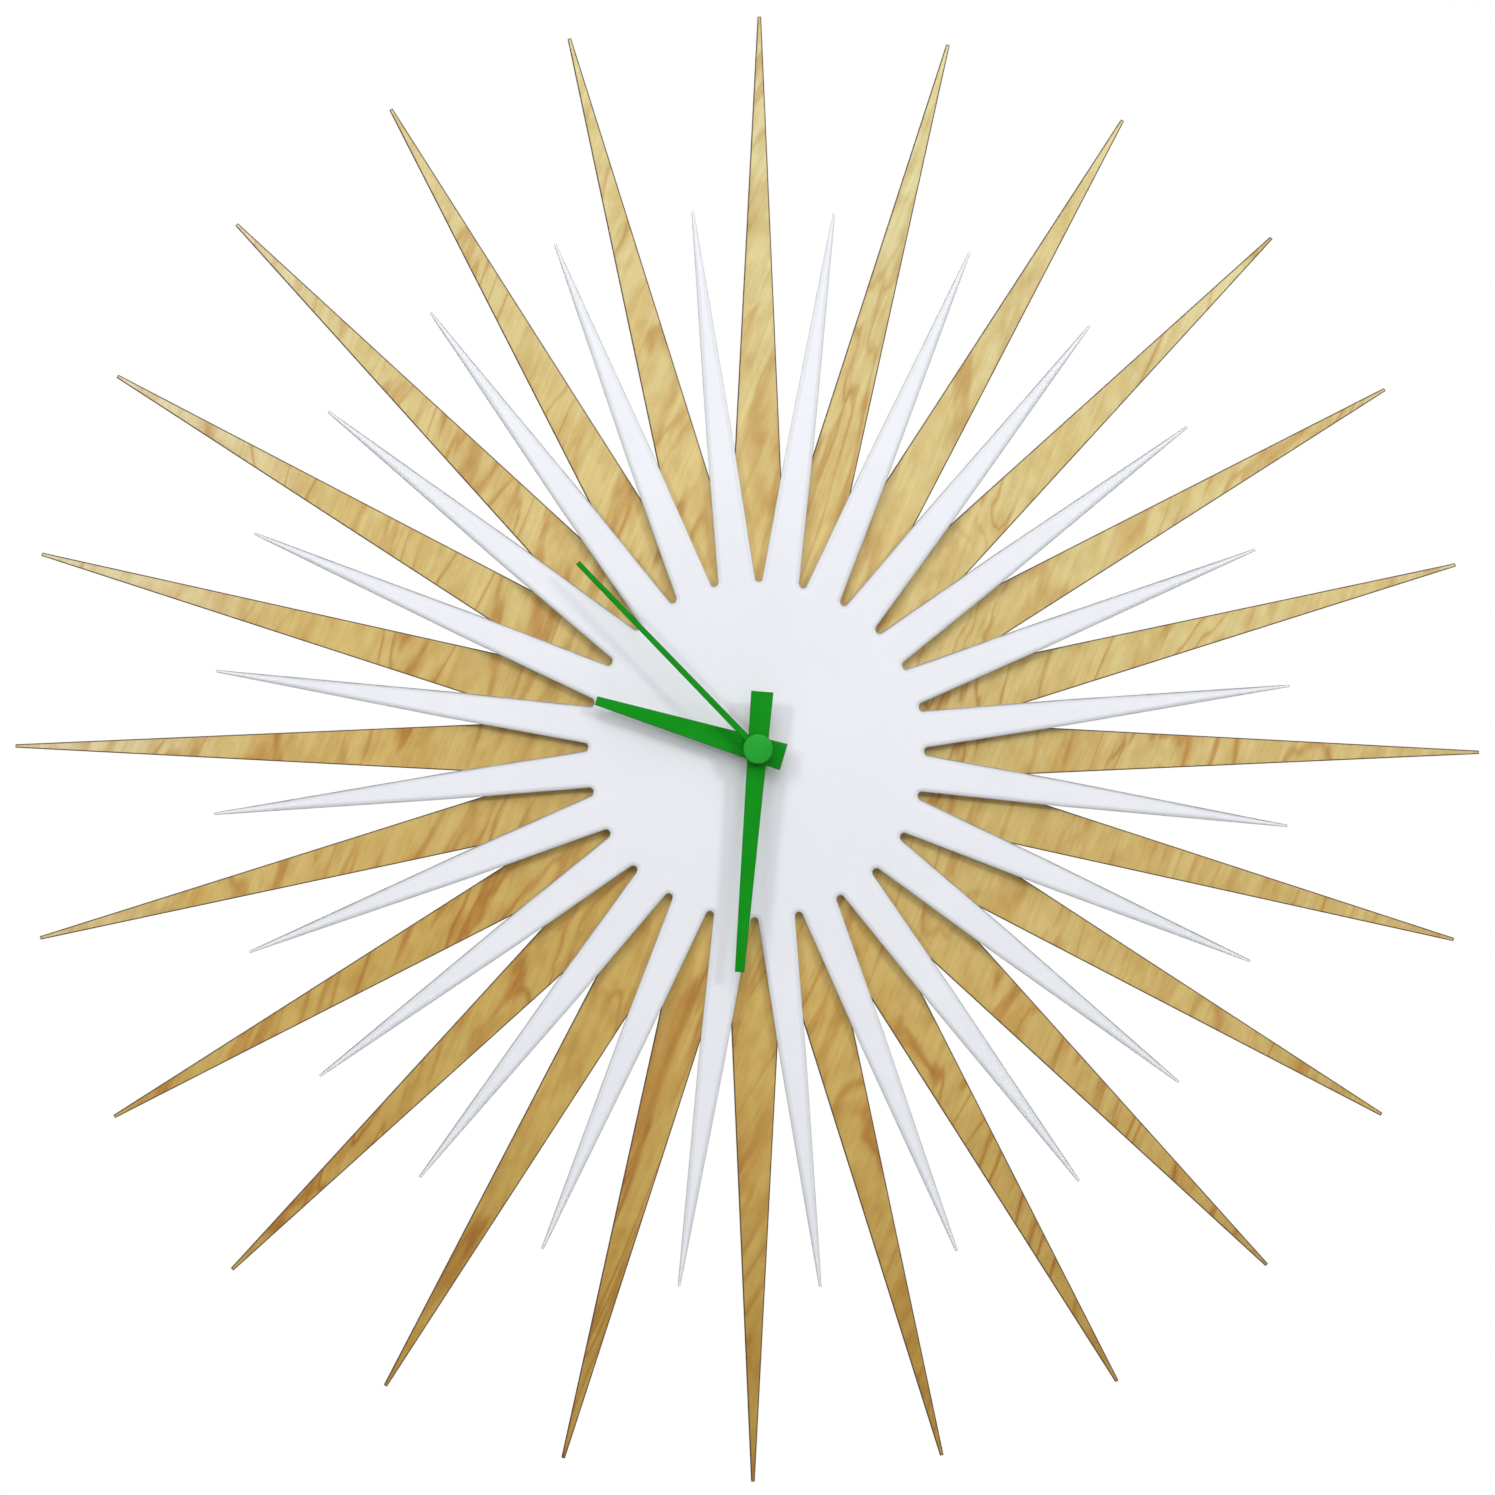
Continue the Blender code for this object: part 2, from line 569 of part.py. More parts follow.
def make_case():
    """Front shell: box, battery bay, threaded tube, posts and pivot holes."""
    outside = rectangle(-CASE_HALF, CASE_HALF, -CASE_HALF, CASE_HALF, CASE_CORNER)
    case = add_object("movement_case", plate([outside], CASE_FRONT, 0.0), "black_plastic")
    inner = CASE_HALF - CASE_SIDE_WALL
    divider_bottom, divider_top = BAY_DIVIDER
    train_room = rectangle(-inner, inner, divider_top, inner, COVER_CORNER)
    bay = rectangle(-inner, inner, -inner, divider_bottom)
    combine(case, plate([train_room], CASE_INSIDE, OVERSHOOT), "DIFFERENCE")
    combine(case, plate([bay], CASE_INSIDE, OVERSHOOT), "DIFFERENCE")
    root = CASE_INSIDE - OVERLAP
    tube = turned([(TUBE_RADIUS, TUBE_FRONT), (TUBE_RADIUS, root)])
    combine(case, tube, "UNION")
    bore = turned([(TUBE_BORE, TUBE_FRONT - OVERSHOOT), (TUBE_BORE, CASE_INSIDE + OVERSHOOT)])
    combine(case, bore, "DIFFERENCE")
    neck_start = MID_PLATE[0] - GAP
    tip_start = BRIDGE[0] - GAP
    for post in TRAIN_POSTS:
        steps = [(POST_RADIUS, root), (POST_RADIUS, neck_start), (POST_NECK_RADIUS, neck_start),
                 (POST_NECK_RADIUS, tip_start), (POST_TIP_RADIUS, tip_start),
                 (POST_TIP_RADIUS, BRIDGE[1] - END_PLAY)]
        combine(case, turned(steps, SMALL_ROUND), "UNION", post)
    for post in BOARD_POSTS:
        steps = [(POST_RADIUS, root), (POST_RADIUS, BOARD_LEVEL[0] - GAP)]
        combine(case, turned(steps, SMALL_ROUND), "UNION", post)
    for axis in (THIRD_AXIS, MOTION_AXIS):
        radius = PIVOT_RADIUS + BORE_CLEARANCE
        pivot = [(radius, CASE_INSIDE - PIVOT_DEPTH - BORE_CLEARANCE),
                 (radius, CASE_INSIDE + OVERSHOOT)]
        combine(case, turned(pivot, SMALL_ROUND), "DIFFERENCE", axis)


def make_cover():
    """The lid over the train, with the hole for the setting knob."""
    side = CASE_HALF - CASE_SIDE_WALL - GAP
    outline = rectangle(-side, side, BAY_DIVIDER[1] + GAP, side, COVER_CORNER)
    knob_hole = circle(KNOB_HOLE_RADIUS, MOTION_AXIS)
    cover = plate([outline, knob_hole], COVER_INSIDE, 0.0)
    add_object("back_cover", cover, "black_plastic")


def make_plates():
    """The plate in the middle of the train and the bridge behind it."""
    post_holes = []
    tip_holes = []
    for post in TRAIN_POSTS:
        post_holes.append(circle(POST_NECK_RADIUS + BORE_CLEARANCE, post, SMALL_ROUND))
        tip_holes.append(circle(POST_TIP_RADIUS + BORE_CLEARANCE, post, SMALL_ROUND))
    seconds_hole = circle(SECONDS_ARBOR_RADIUS + BORE_CLEARANCE, CENTRE_AXIS, SMALL_ROUND)
    setting_hole = circle(SETTING_SHAFT_RADIUS + BORE_CLEARANCE, MOTION_AXIS, SMALL_ROUND)
    pivots = {}
    for axis in (THIRD_AXIS, INTERMEDIATE_AXIS, ROTOR_AXIS):
        pivots[axis] = circle(PIVOT_RADIUS + BORE_CLEARANCE, axis, SMALL_ROUND)
    mid_loops = [list(PLATE_OUTLINE), *post_holes, seconds_hole, setting_hole, *pivots.values()]
    add_object("mid_plate", plate(mid_loops, *MID_PLATE), "grey_plastic")
    bridge_loops = [list(PLATE_OUTLINE), *tip_holes, seconds_hole, setting_hole,
                    pivots[INTERMEDIATE_AXIS], pivots[ROTOR_AXIS]]
    add_object("gear_bridge", plate(bridge_loops, *BRIDGE), "grey_plastic")


def box_section(depth, height):
    """A (y, z) rectangle about the coil's centre line."""
    y, z = COIL_CENTRE[1], COIL_CENTRE[2]
    return [(y - depth / 2, z - height / 2), (y - depth / 2, z + height / 2),
            (y + depth / 2, z + height / 2), (y + depth / 2, z - height / 2)]


def make_step_motor():
    """Stator, core, bobbin and winding."""
    hole = circle(STATOR_HOLE, ROTOR_AXIS)
    stator = plate([stator_outline(), hole], *STATOR_LEVEL)
    add_object("stator", stator, "zinc_steel")
    core = bar_along_x(box_section(*CORE_SECTION), STATOR_LEFT, STATOR_RIGHT)
    add_object("coil_core", core, "zinc_steel")
    left = COIL_CENTRE[0] - COIL_HALF_LENGTH
    right = COIL_CENTRE[0] + COIL_HALF_LENGTH
    inset = FLANGE_THICKNESS / 2
    tube = bar_along_x(box_section(*BOBBIN_TUBE), left + inset, right - inset)
    bobbin = add_object("coil_bobbin", tube, "white_plastic")
    flange = box_section(2 * FLANGE_HALF, 2 * FLANGE_HALF)
    combine(bobbin, bar_along_x(flange, left, left + FLANGE_THICKNESS), "UNION")
    combine(bobbin, bar_along_x(flange, right - FLANGE_THICKNESS, right), "UNION")
    bore = bar_along_x(box_section(*BOBBIN_BORE), left - OVERSHOOT, right + OVERSHOOT)
    combine(bobbin, bore, "DIFFERENCE")
    inner, outer = WINDING_RADII
    half = COIL_HALF_LENGTH - FLANGE_THICKNESS - GAP
    winding = add_object("coil_winding", ring(outer, inner, -half, half, PIPE_ROUND), "copper")
    winding.rotation_euler = (0, 0, -pi / 2)
    winding.location = [value * MM for value in COIL_CENTRE]


def make_circuit():
    """Board, chip and crystal."""
    add_object("circuit_board", plate([rectangle(*BOARD)], *BOARD_LEVEL), "board_green")
    base = BOARD_LEVEL[1] + GAP
    dome = []
    for angle in CHIP_DOME_ANGLES:
        dome.append((CHIP_RADIUS * cos(angle), base + CHIP_HEIGHT * sin(angle)))
    add_object("ic_chip", turned(dome, SMALL_ROUND), "black_epoxy", CHIP_CENTRE)
    half = CRYSTAL_LENGTH / 2
    body = turned([(CRYSTAL_RADIUS, -half), (CRYSTAL_RADIUS, half)], SMALL_ROUND)
    crystal = add_object("quartz_crystal", body, "zinc_steel")
    crystal.rotation_euler = (pi / 2, 0, 0)
    depth = base + CRYSTAL_RADIUS
    crystal.location = (CRYSTAL_CENTRE[0] * MM, depth * MM, CRYSTAL_CENTRE[1] * MM)


def make_contacts():
    """The two battery contacts: a bowed leaf at the can's flat end, a plate at its nub."""
    wall = CASE_HALF - CASE_SIDE_WALL
    y_front = CASE_INSIDE + CONTACT_MARGIN
    y_back = -CONTACT_MARGIN
    middle = (y_front + y_back) / 2
    z = BATTERY_CENTRE[1]
    leaf_back = -wall + GAP
    leaf = [(leaf_back, y_front), (leaf_back + CONTACT_BOW, middle), (leaf_back, y_back),
            (leaf_back + CONTACT_THICKNESS, y_back),
            (leaf_back + CONTACT_BOW + CONTACT_THICKNESS, middle),
            (leaf_back + CONTACT_THICKNESS, y_front)]
    flat_back = wall - GAP
    flat = [(flat_back, y_front), (flat_back, y_back),
            (flat_back - CONTACT_THICKNESS, y_back), (flat_back - CONTACT_THICKNESS, y_front)]
    for name, outline in (("contact_negative", leaf), ("contact_positive", flat)):
        body = upright(outline, z - CONTACT_HALF_HEIGHT, z + CONTACT_HALF_HEIGHT)
        add_object(name, body, "zinc_steel")


# The battery

def make_battery():
    """An AA cell, which lifts out at the back."""
    y, z = BATTERY_CENTRE
    slide = add_axis("battery_slide", (0.0, z))
    slide.location.y = y * MM
    half = (BATTERY_ENDS[1] - BATTERY_ENDS[0]) / 2
    can_profile = [(BATTERY_RADIUS - CAN_ROUNDING, -half), (BATTERY_RADIUS, CAN_ROUNDING - half),
                   (BATTERY_RADIUS, half - CAN_ROUNDING), (BATTERY_RADIUS - CAN_ROUNDING, half)]
    can = add_object("battery_can", turned(can_profile), "battery_wrap", parent=slide)
    nub_half = TERMINAL_LENGTH / 2
    nub_profile = [(TERMINAL_RADIUS, -nub_half), (TERMINAL_RADIUS, nub_half)]
    nub = add_object("battery_terminal", turned(nub_profile, SMALL_ROUND), "zinc_steel",
                     parent=slide)
    middle = (BATTERY_ENDS[0] + BATTERY_ENDS[1]) / 2
    nub_x = BATTERY_ENDS[1] + GAP + nub_half
    for thing, x in ((can, middle), (nub, nub_x)):
        thing.rotation_euler = (0, 0, -pi / 2)
        thing.location = (x * MM, 0, 0)


# The train, one function for each turning body

def wheel(teeth, module, bore, level):
    """A thin toothed wheel with a round bore."""
    loops = [gear_outline(teeth, module, WHEEL_TOOTH), circle(bore, steps=SMALL_ROUND)]
    return plate(loops, *level)


def pinion_on_arbor(name, teeth, module, level, arbor, finish, turn, parent):
    """A pinion in one piece with its arbor, which is a (radius, y) profile."""
    toothed = plate([gear_outline(teeth, module, PINION_TOOTH)], *level)
    pinion = add_object(name, toothed, finish, turn=turn, parent=parent)
    combine(pinion, turned(arbor, ARBOR_ROUND), "UNION")
    return pinion


def pivoted(shaft, front, back):
    """The profile of an arbor that ends in a thinner pivot at each end."""
    return [(PIVOT_RADIUS, front), (PIVOT_RADIUS, front + PIVOT_LENGTH),
            (shaft, front + PIVOT_LENGTH), (shaft, back - PIVOT_LENGTH),
            (PIVOT_RADIUS, back - PIVOT_LENGTH), (PIVOT_RADIUS, back)]


def make_rotor():
    """The magnet and its pinion."""
    axis = add_axis("rotor_axis", ROTOR_AXIS)
    arbor = pivoted(ROTOR_ARBOR_RADIUS, MID_PLATE[0] + END_PLAY, BRIDGE[1] - END_PLAY)
    turn = facing_gap(ROTOR_BEARING + pi, ROTOR_PINION_TEETH)
    pinion_on_arbor("rotor_pinion", ROTOR_PINION_TEETH, ROTOR_MODULE, INTERMEDIATE_LEVEL,
                    arbor, "white_plastic", turn, axis)
    magnet = ring(MAGNET_RADIUS, ROTOR_ARBOR_RADIUS + GAP, *MAGNET_LEVEL, PIPE_ROUND)
    add_object("rotor_magnet", magnet, "dark_magnet", parent=axis)


def make_intermediate():
    """The wheel that the rotor drives, and the pinion that drives the seconds wheel."""
    axis = add_axis("intermediate_axis", INTERMEDIATE_AXIS)
    arbor = pivoted(ARBOR_RADIUS, MID_PLATE[0] + END_PLAY, BRIDGE[1] - END_PLAY)
    turn = facing_gap(INTERMEDIATE_BEARING + pi, INTERMEDIATE_PINION_TEETH)
    pinion_on_arbor("intermediate_pinion", INTERMEDIATE_PINION_TEETH, SECONDS_MODULE,
                    SECONDS_LEVEL, arbor, "white_plastic", turn, axis)
    gear = wheel(INTERMEDIATE_TEETH, ROTOR_MODULE, ARBOR_RADIUS + GAP, INTERMEDIATE_LEVEL)
    add_object("intermediate_wheel", gear, "white_plastic", turn=ROTOR_BEARING, parent=axis)


def make_seconds():
    """Seconds wheel, its long arbor with the pinion, the second hand and the cap."""
    axis = add_axis("seconds_axis")
    arbor = [(SECONDS_ARBOR_RADIUS, ARBOR_FRONT),
             (SECONDS_ARBOR_RADIUS, BRIDGE[1] - END_PLAY)]
    turn = facing_gap(THIRD_BEARING, SECONDS_PINION_TEETH)
    pinion_on_arbor("seconds_arbor", SECONDS_PINION_TEETH, THIRD_MODULE, THIRD_LEVEL,
                    arbor, "zinc_steel", turn, axis)
    gear = wheel(SECONDS_TEETH, SECONDS_MODULE, SECONDS_ARBOR_RADIUS + GAP, SECONDS_LEVEL)
    add_object("seconds_wheel", gear, "white_plastic", turn=INTERMEDIATE_BEARING, parent=axis)

    root_width, tip_width = SECOND_HAND_WIDTHS
    bore = SECONDS_ARBOR_RADIUS + BORE_CLEARANCE
    blade_front = SECOND_HAND_BACK - SECOND_HAND_THICKNESS
    blade = plate([hand_outline(SECOND_HAND_LENGTH, 0.0, root_width, tip_width)],
                  blade_front, SECOND_HAND_BACK)
    hand = add_object("second_hand", blade, "green_paint", turn=SECOND_HAND_ANGLE, parent=axis)
    disc_radius, collar_radius = SECOND_HAND_BOSS
    boss = turned([(disc_radius, blade_front), (disc_radius, SECOND_HAND_BACK),
                   (collar_radius, SECOND_HAND_BACK), (collar_radius, SECOND_COLLAR_BACK)],
                  SMALL_ROUND)
    combine(hand, boss, "UNION")
    hole = turned([(bore, blade_front - OVERSHOOT), (bore, SECOND_COLLAR_BACK + OVERSHOOT)],
                  SMALL_ROUND)
    combine(hand, hole, "DIFFERENCE")
    cap_front = CAP_BACK - CAP_THICKNESS
    cap_edge = []
    for step in range(CAP_EDGE_STEPS + 1):
        angle = pi / 2 * step / CAP_EDGE_STEPS
        cap_edge.append((CAP_RADIUS - CAP_EDGE * (1 - sin(angle)),
                         cap_front + CAP_EDGE * (1 - cos(angle))))
    cap = turned([*cap_edge, (CAP_RADIUS, CAP_BACK)])
    add_object("second_hand_cap", cap, "cap_green", parent=axis)


def make_third():
    """The third wheel and pinion, between the seconds and the centre wheel."""
    axis = add_axis("third_axis", THIRD_AXIS)
    arbor = pivoted(ARBOR_RADIUS, CASE_INSIDE - PIVOT_DEPTH, MID_PLATE[1] - END_PLAY)
    turn = facing_gap(THIRD_BEARING + pi, THIRD_PINION_TEETH)
    pinion_on_arbor("third_pinion", THIRD_PINION_TEETH, CENTRE_MODULE, CENTRE_LEVEL,
                    arbor, "white_plastic", turn, axis)
    gear = wheel(THIRD_TEETH, THIRD_MODULE, ARBOR_RADIUS + GAP, THIRD_LEVEL)
    add_object("third_wheel", gear, "white_plastic", turn=THIRD_BEARING + pi, parent=axis)


def make_hand(name, sizes, angle, bore, collar_radius, collar_back, parent):
    """A flat hand with a collar behind it that grips its pipe."""
    back = collar_back - COLLAR_LENGTH
    front = back - HAND_THICKNESS
    blade = plate([hand_outline(*sizes)], front, back)
    hand = add_object(name, blade, "green_paint", turn=angle, parent=parent)
    collar = turned([(collar_radius, back - OVERLAP), (collar_radius, collar_back)], PIPE_ROUND)
    combine(hand, collar, "UNION")
    hole = turned([(bore, front - OVERSHOOT), (bore, collar_back + OVERSHOOT)], PIPE_ROUND)
    combine(hand, hole, "DIFFERENCE")


def make_minutes():
    """Centre wheel, minute pipe with the cannon pinion, and the minute hand."""
    axis = add_axis("minute_axis")
    outer, inner = MINUTE_PIPE
    pipe_back = CENTRE_LEVEL[1] + END_PLAY
    toothed = plate([gear_outline(CANNON_TEETH, CANNON_MODULE, PINION_TOOTH)], *MINUTE_LEVEL)
    turn = facing_gap(MOTION_BEARING, CANNON_TEETH)
    pipe = add_object("minute_pipe", toothed, "brass", turn=turn, parent=axis)
    combine(pipe, turned([(outer, MINUTE_PIPE_FRONT), (outer, pipe_back)], PIPE_ROUND), "UNION")
    bore = turned([(inner, MINUTE_PIPE_FRONT - OVERSHOOT), (inner, pipe_back + OVERSHOOT)],
                  ARBOR_ROUND)
    combine(pipe, bore, "DIFFERENCE")
    gear = wheel(CENTRE_TEETH, CENTRE_MODULE, outer + GAP, CENTRE_LEVEL)
    add_object("centre_wheel", gear, "white_plastic", turn=THIRD_BEARING, parent=axis)
    make_hand("minute_hand", MINUTE_HAND, MINUTE_HAND_ANGLE, outer + HAND_CLEARANCE,
              MINUTE_COLLAR_RADIUS, MINUTE_COLLAR_BACK, axis)


def make_motion_work():
    """Minute wheel, motion pinion on the setting shaft, and the setting knob."""
    axis = add_axis("motion_axis", MOTION_AXIS)
    pivot_end = CASE_INSIDE - PIVOT_DEPTH + PIVOT_LENGTH
    shaft_end = KNOB_LEVEL[1] - GAP
    arbor = [(PIVOT_RADIUS, CASE_INSIDE - PIVOT_DEPTH), (PIVOT_RADIUS, pivot_end),
             (SETTING_SHAFT_RADIUS, pivot_end), (SETTING_SHAFT_RADIUS, shaft_end)]
    turn = facing_gap(MOTION_BEARING + pi, MOTION_PINION_TEETH)
    pinion_on_arbor("motion_pinion", MOTION_PINION_TEETH, HOUR_MODULE, HOUR_LEVEL,
                    arbor, "white_plastic", turn, axis)
    gear = wheel(MINUTE_WHEEL_TEETH, CANNON_MODULE, SETTING_SHAFT_RADIUS + GAP, MINUTE_LEVEL)
    add_object("minute_wheel", gear, "white_plastic", turn=MOTION_BEARING + pi, parent=axis)
    bore = circle(SETTING_SHAFT_RADIUS + GAP, steps=SMALL_ROUND)
    knob = plate([knob_outline(), bore], *KNOB_LEVEL)
    add_object("setting_knob", knob, "grey_plastic", parent=axis)


def make_hours():
    """Hour wheel in one piece with its pipe, and the hour hand."""
    axis = add_axis("hour_axis")
    outer, inner = HOUR_PIPE
    gear = plate([gear_outline(HOUR_TEETH, HOUR_MODULE, WHEEL_TOOTH)], *HOUR_LEVEL)
    body = add_object("hour_wheel", gear, "brass", turn=MOTION_BEARING, parent=axis)
    pipe = turned([(outer, HOUR_PIPE_FRONT), (outer, HOUR_LEVEL[0] + OVERLAP)], PIPE_ROUND)
    combine(body, pipe, "UNION")
    bore = turned([(inner, HOUR_PIPE_FRONT - OVERSHOOT), (inner, HOUR_LEVEL[1] + OVERSHOOT)],
                  PIPE_ROUND)
    combine(body, bore, "DIFFERENCE")
    make_hand("hour_hand", HOUR_HAND, HOUR_HAND_ANGLE, outer + HAND_CLEARANCE,
              HOUR_COLLAR_RADIUS, HOUR_COLLAR_BACK, axis)


for old in list(bpy.data.objects):
    bpy.data.objects.remove(old, do_unlink=True)
materials = {name: make_material(name) for name in FINISHES}
make_dial()
make_clamp()
make_case()
make_cover()
make_plates()
make_step_motor()
make_circuit()
make_contacts()
make_battery()
make_rotor()
make_intermediate()
make_seconds()
make_third()
make_minutes()
make_motion_work()
make_hours()
bpy.context.view_layer.update()
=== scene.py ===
"""Looks for the sunburst wall clock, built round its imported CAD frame.

Everything is in metres in the CAD's own frame: +Z is up, the dial faces -Y and the wall is the
plane y = 0. Shapes are read from the frame's nodes, so sizes follow the CAD.
"""

from math import ceil, cos, inf, pi, radians, sin

import bmesh
import bpy
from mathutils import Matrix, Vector


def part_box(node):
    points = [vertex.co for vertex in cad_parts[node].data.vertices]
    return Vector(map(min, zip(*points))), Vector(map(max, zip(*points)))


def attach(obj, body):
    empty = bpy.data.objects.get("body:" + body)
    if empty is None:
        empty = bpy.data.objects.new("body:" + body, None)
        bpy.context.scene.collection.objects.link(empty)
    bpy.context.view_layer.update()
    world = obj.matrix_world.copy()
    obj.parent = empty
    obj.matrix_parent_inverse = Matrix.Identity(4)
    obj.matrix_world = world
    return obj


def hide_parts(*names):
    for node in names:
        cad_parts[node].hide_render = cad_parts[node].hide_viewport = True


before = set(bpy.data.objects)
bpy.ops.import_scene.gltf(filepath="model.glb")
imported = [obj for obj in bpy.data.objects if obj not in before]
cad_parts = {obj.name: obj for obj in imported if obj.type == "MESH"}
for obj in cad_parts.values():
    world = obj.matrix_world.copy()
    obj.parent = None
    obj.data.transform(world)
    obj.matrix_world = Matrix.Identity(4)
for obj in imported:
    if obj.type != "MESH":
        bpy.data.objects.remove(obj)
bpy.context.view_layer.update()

MM = 0.001
WELD_DISTANCE = 1e-6
FLAT_ANGLE = radians(1)
SHARP_ANGLE = radians(35)     # edges turned more than this are rounded
SMOOTH_ANGLE = radians(50)    # edges turned less than this are shaded smooth
FACE_WEIGHT = 100             # how strongly large faces keep their own shading
FACING = 0.99                 # least part of its normal that a flat face has along Y
STRAIGHT = 1e-4               # sine of the largest turn that still counts as straight
PARALLEL = 1e-12              # largest cross product of two lines that never meet
END_SLACK = 1e-6              # share of an edge's length by which a hit may miss its ends
SHARPEST_INSET = 0.3          # least cosine by which the inset at a sharp corner is stretched
LEVEL_DIGITS = 6              # decimals of a metre that tell two levels apart

# Camera, as a distance and a direction from the clock's centre
CAMERA_DISTANCE = 1.10
CAMERA_LEFT = radians(2.66)
CAMERA_UP = radians(0.0)
CAMERA_ROLL = radians(0.25)
CAMERA_AIM = (-3.5 * MM, 0.65 * MM)     # x and z of the picture's centre, on the wood's face
FRAME_WIDTH = 595.7 * MM                # the picture's width at the wood's face
SENSOR = 36.0
CLIP_RANGE = (0.01, 50.0)

# Rims: how far a rounded edge reaches in from the side, and how deep
ACRYLIC_RIM = (1.4 * MM, 0.8 * MM)
ACRYLIC_FADE = 0.5 * MM       # how far the white rim's painted shade reaches onto the sheet's faces
WOOD_RIM = (0.30 * MM, 0.25 * MM)
HAND_RIM = (0.18 * MM, 0.18 * MM)
HAND_FADE = 0.10 * MM         # how far the painted shade of a hand's rim reaches onto its face
BACK_RIM = (0.20 * MM, 0.20 * MM)
HALF_SHARE = 0.42             # most of a ray's local width that one rim may take
RIM_STEPS = 4
EDGE_SPACING = 10.0 * MM      # longest run of an outline without a point on it
COLLAR_RIM = (0.05 * MM, 0.05 * MM)
COLLAR_OVERLAP = 0.1 * MM     # how far a hand's collar reaches into its blade
CAP_EDGE = 0.8 * MM           # radius of the cap's rounded edge
CAP_CROWN = 0.15 * MM         # how much the cap's middle stands forward
CAP_BACK_EDGE = 0.15 * MM
CAP_STEPS = 8
CAP_CROWN_REACH = 0.95        # how far in towards the middle the crown's rings go, as a share
TURN_STEPS = 96               # sides of a turned piece
EDGE_ROUND = 0.3 * MM         # radius of the rounded edges of the pieces behind the dial
THIN_EDGE_ROUND = 0.1 * MM
EDGE_SEGMENTS = 2
BATTERY_ROLL = 0.6 * MM       # how far the battery's film rolls over its ends
BATTERY_CRIMP = 0.25 * MM     # how deep its crimp is, where it is, and how wide
BATTERY_CRIMP_PLACE = 3.2 * MM
BATTERY_CRIMP_WIDTH = 1.6 * MM
BATTERY_CRIMP_STEPS = 8
BATTERY_LIP = 0.80            # inner radius of its end faces, as a share of its own radius
BATTERY_WELL = 0.72           # radius of the shallow recess inside them, as a share of it
CHAR_WIDTH = 0.45 * MM        # how far the laser's scorching reaches onto the wood's face

# Floor: its radius, the sides of its outline and its height
FLOOR_RADIUS = 1.5
FLOOR_SIDES = 96
FLOOR_LEVEL = -1.3

# The pieces behind the dial whose edges are rounded
THICK_PIECES = ("movement_case", "back_cover", "hanger_plate", "hex_nut", "brass_washer",
                "rubber_washer", "battery_terminal", "setting_knob")
THIN_PIECES = ("contact_positive", "contact_negative")


# Outlines read from the frame

def flat_loops(node, front=True):
    """The closed (x, z) outlines of a flat node's front or back face, the outer one first."""
    mesh = bmesh.new()
    mesh.from_mesh(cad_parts[node].data)
    bmesh.ops.remove_doubles(mesh, verts=mesh.verts, dist=WELD_DISTANCE)
    mesh.normal_update()
    low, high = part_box(node)
    level = low.y if front else high.y
    faces = set()
    for face in mesh.faces:
        if abs(face.calc_center_median().y - level) < WELD_DISTANCE and abs(face.normal.y) > FACING:
            faces.add(face)
    edges = [e for e in mesh.edges if sum(f in faces for f in e.link_faces) == 1]
    neighbours = {}
    for edge in edges:
        a, b = edge.verts
        neighbours.setdefault(a, []).append(b)
        neighbours.setdefault(b, []).append(a)
    loops = []
    unused = set(neighbours)
    while unused:
        first = min(unused, key=lambda v: v.index)
        loop = [first]
        unused.discard(first)
        step = neighbours[first][0]
        while step in unused:
            loop.append(step)
            unused.discard(step)
            ahead = [v for v in neighbours[step] if v in unused]
            step = ahead[0] if ahead else first
        loops.append([Vector((v.co.x, v.co.z)) for v in loop])
    mesh.free()
    loops.sort(key=lambda points: -abs(signed_area(points)))
    return [points if (signed_area(points) > 0) == (rank == 0) else points[::-1]
            for rank, points in enumerate(loops)]


def signed_area(points):
    """Twice the area inside a loop, positive where it runs anticlockwise."""
    return sum(a.cross(b) for a, b in zip(points, points[1:] + points[:1]))


def drop_straight_points(points):
    """A loop without the points that lie on a straight run."""
    kept = []
    for before, here, after in zip(points[-1:] + points[:-1], points, points[1:] + points[:1]):
        if abs((here - before).normalized().cross((after - here).normalized())) > STRAIGHT:
            kept.append(here)
    return kept


def spaced_points(points):
    """A loop with more points on its long edges."""
    spaced = []
    for here, after in zip(points, points[1:] + points[:1]):
        parts = max(1, ceil((after - here).length / EDGE_SPACING))
        spaced += [here.lerp(after, part / parts) for part in range(parts)]
    return spaced


def clear_distance(start, direction, points):
    """How far a line from a point of a loop runs before it meets the loop again."""
    nearest = inf
    for a, b in zip(points, points[1:] + points[:1]):
        edge = b - a
        facing = direction.cross(edge)
        if abs(facing) < PARALLEL:
            continue
        along = (a - start).cross(edge) / facing
        across = (a - start).cross(direction) / facing
        if along > WELD_DISTANCE and -END_SLACK <= across <= 1 + END_SLACK:
            nearest = min(nearest, along)
    return nearest


def inset_moves(points, corners):
    """For each point of a loop, its move per metre of inset and the most inset it has room for."""
    moves = []
    for before, here, after in zip(points[-1:] + points[:-1], points, points[1:] + points[:1]):
        a, b = (here - before).normalized(), (after - here).normalized()
        left_a, left_b = Vector((-a.y, a.x)), Vector((-b.y, b.x))
        inward = (left_a + left_b).normalized()
        stretch = 1 / max(inward.dot(left_a), SHARPEST_INSET)
        room = clear_distance(here + inward * 2 * WELD_DISTANCE, inward, corners)
        moves.append((inward * stretch, room * HALF_SHARE / stretch))
    return moves


# Meshes

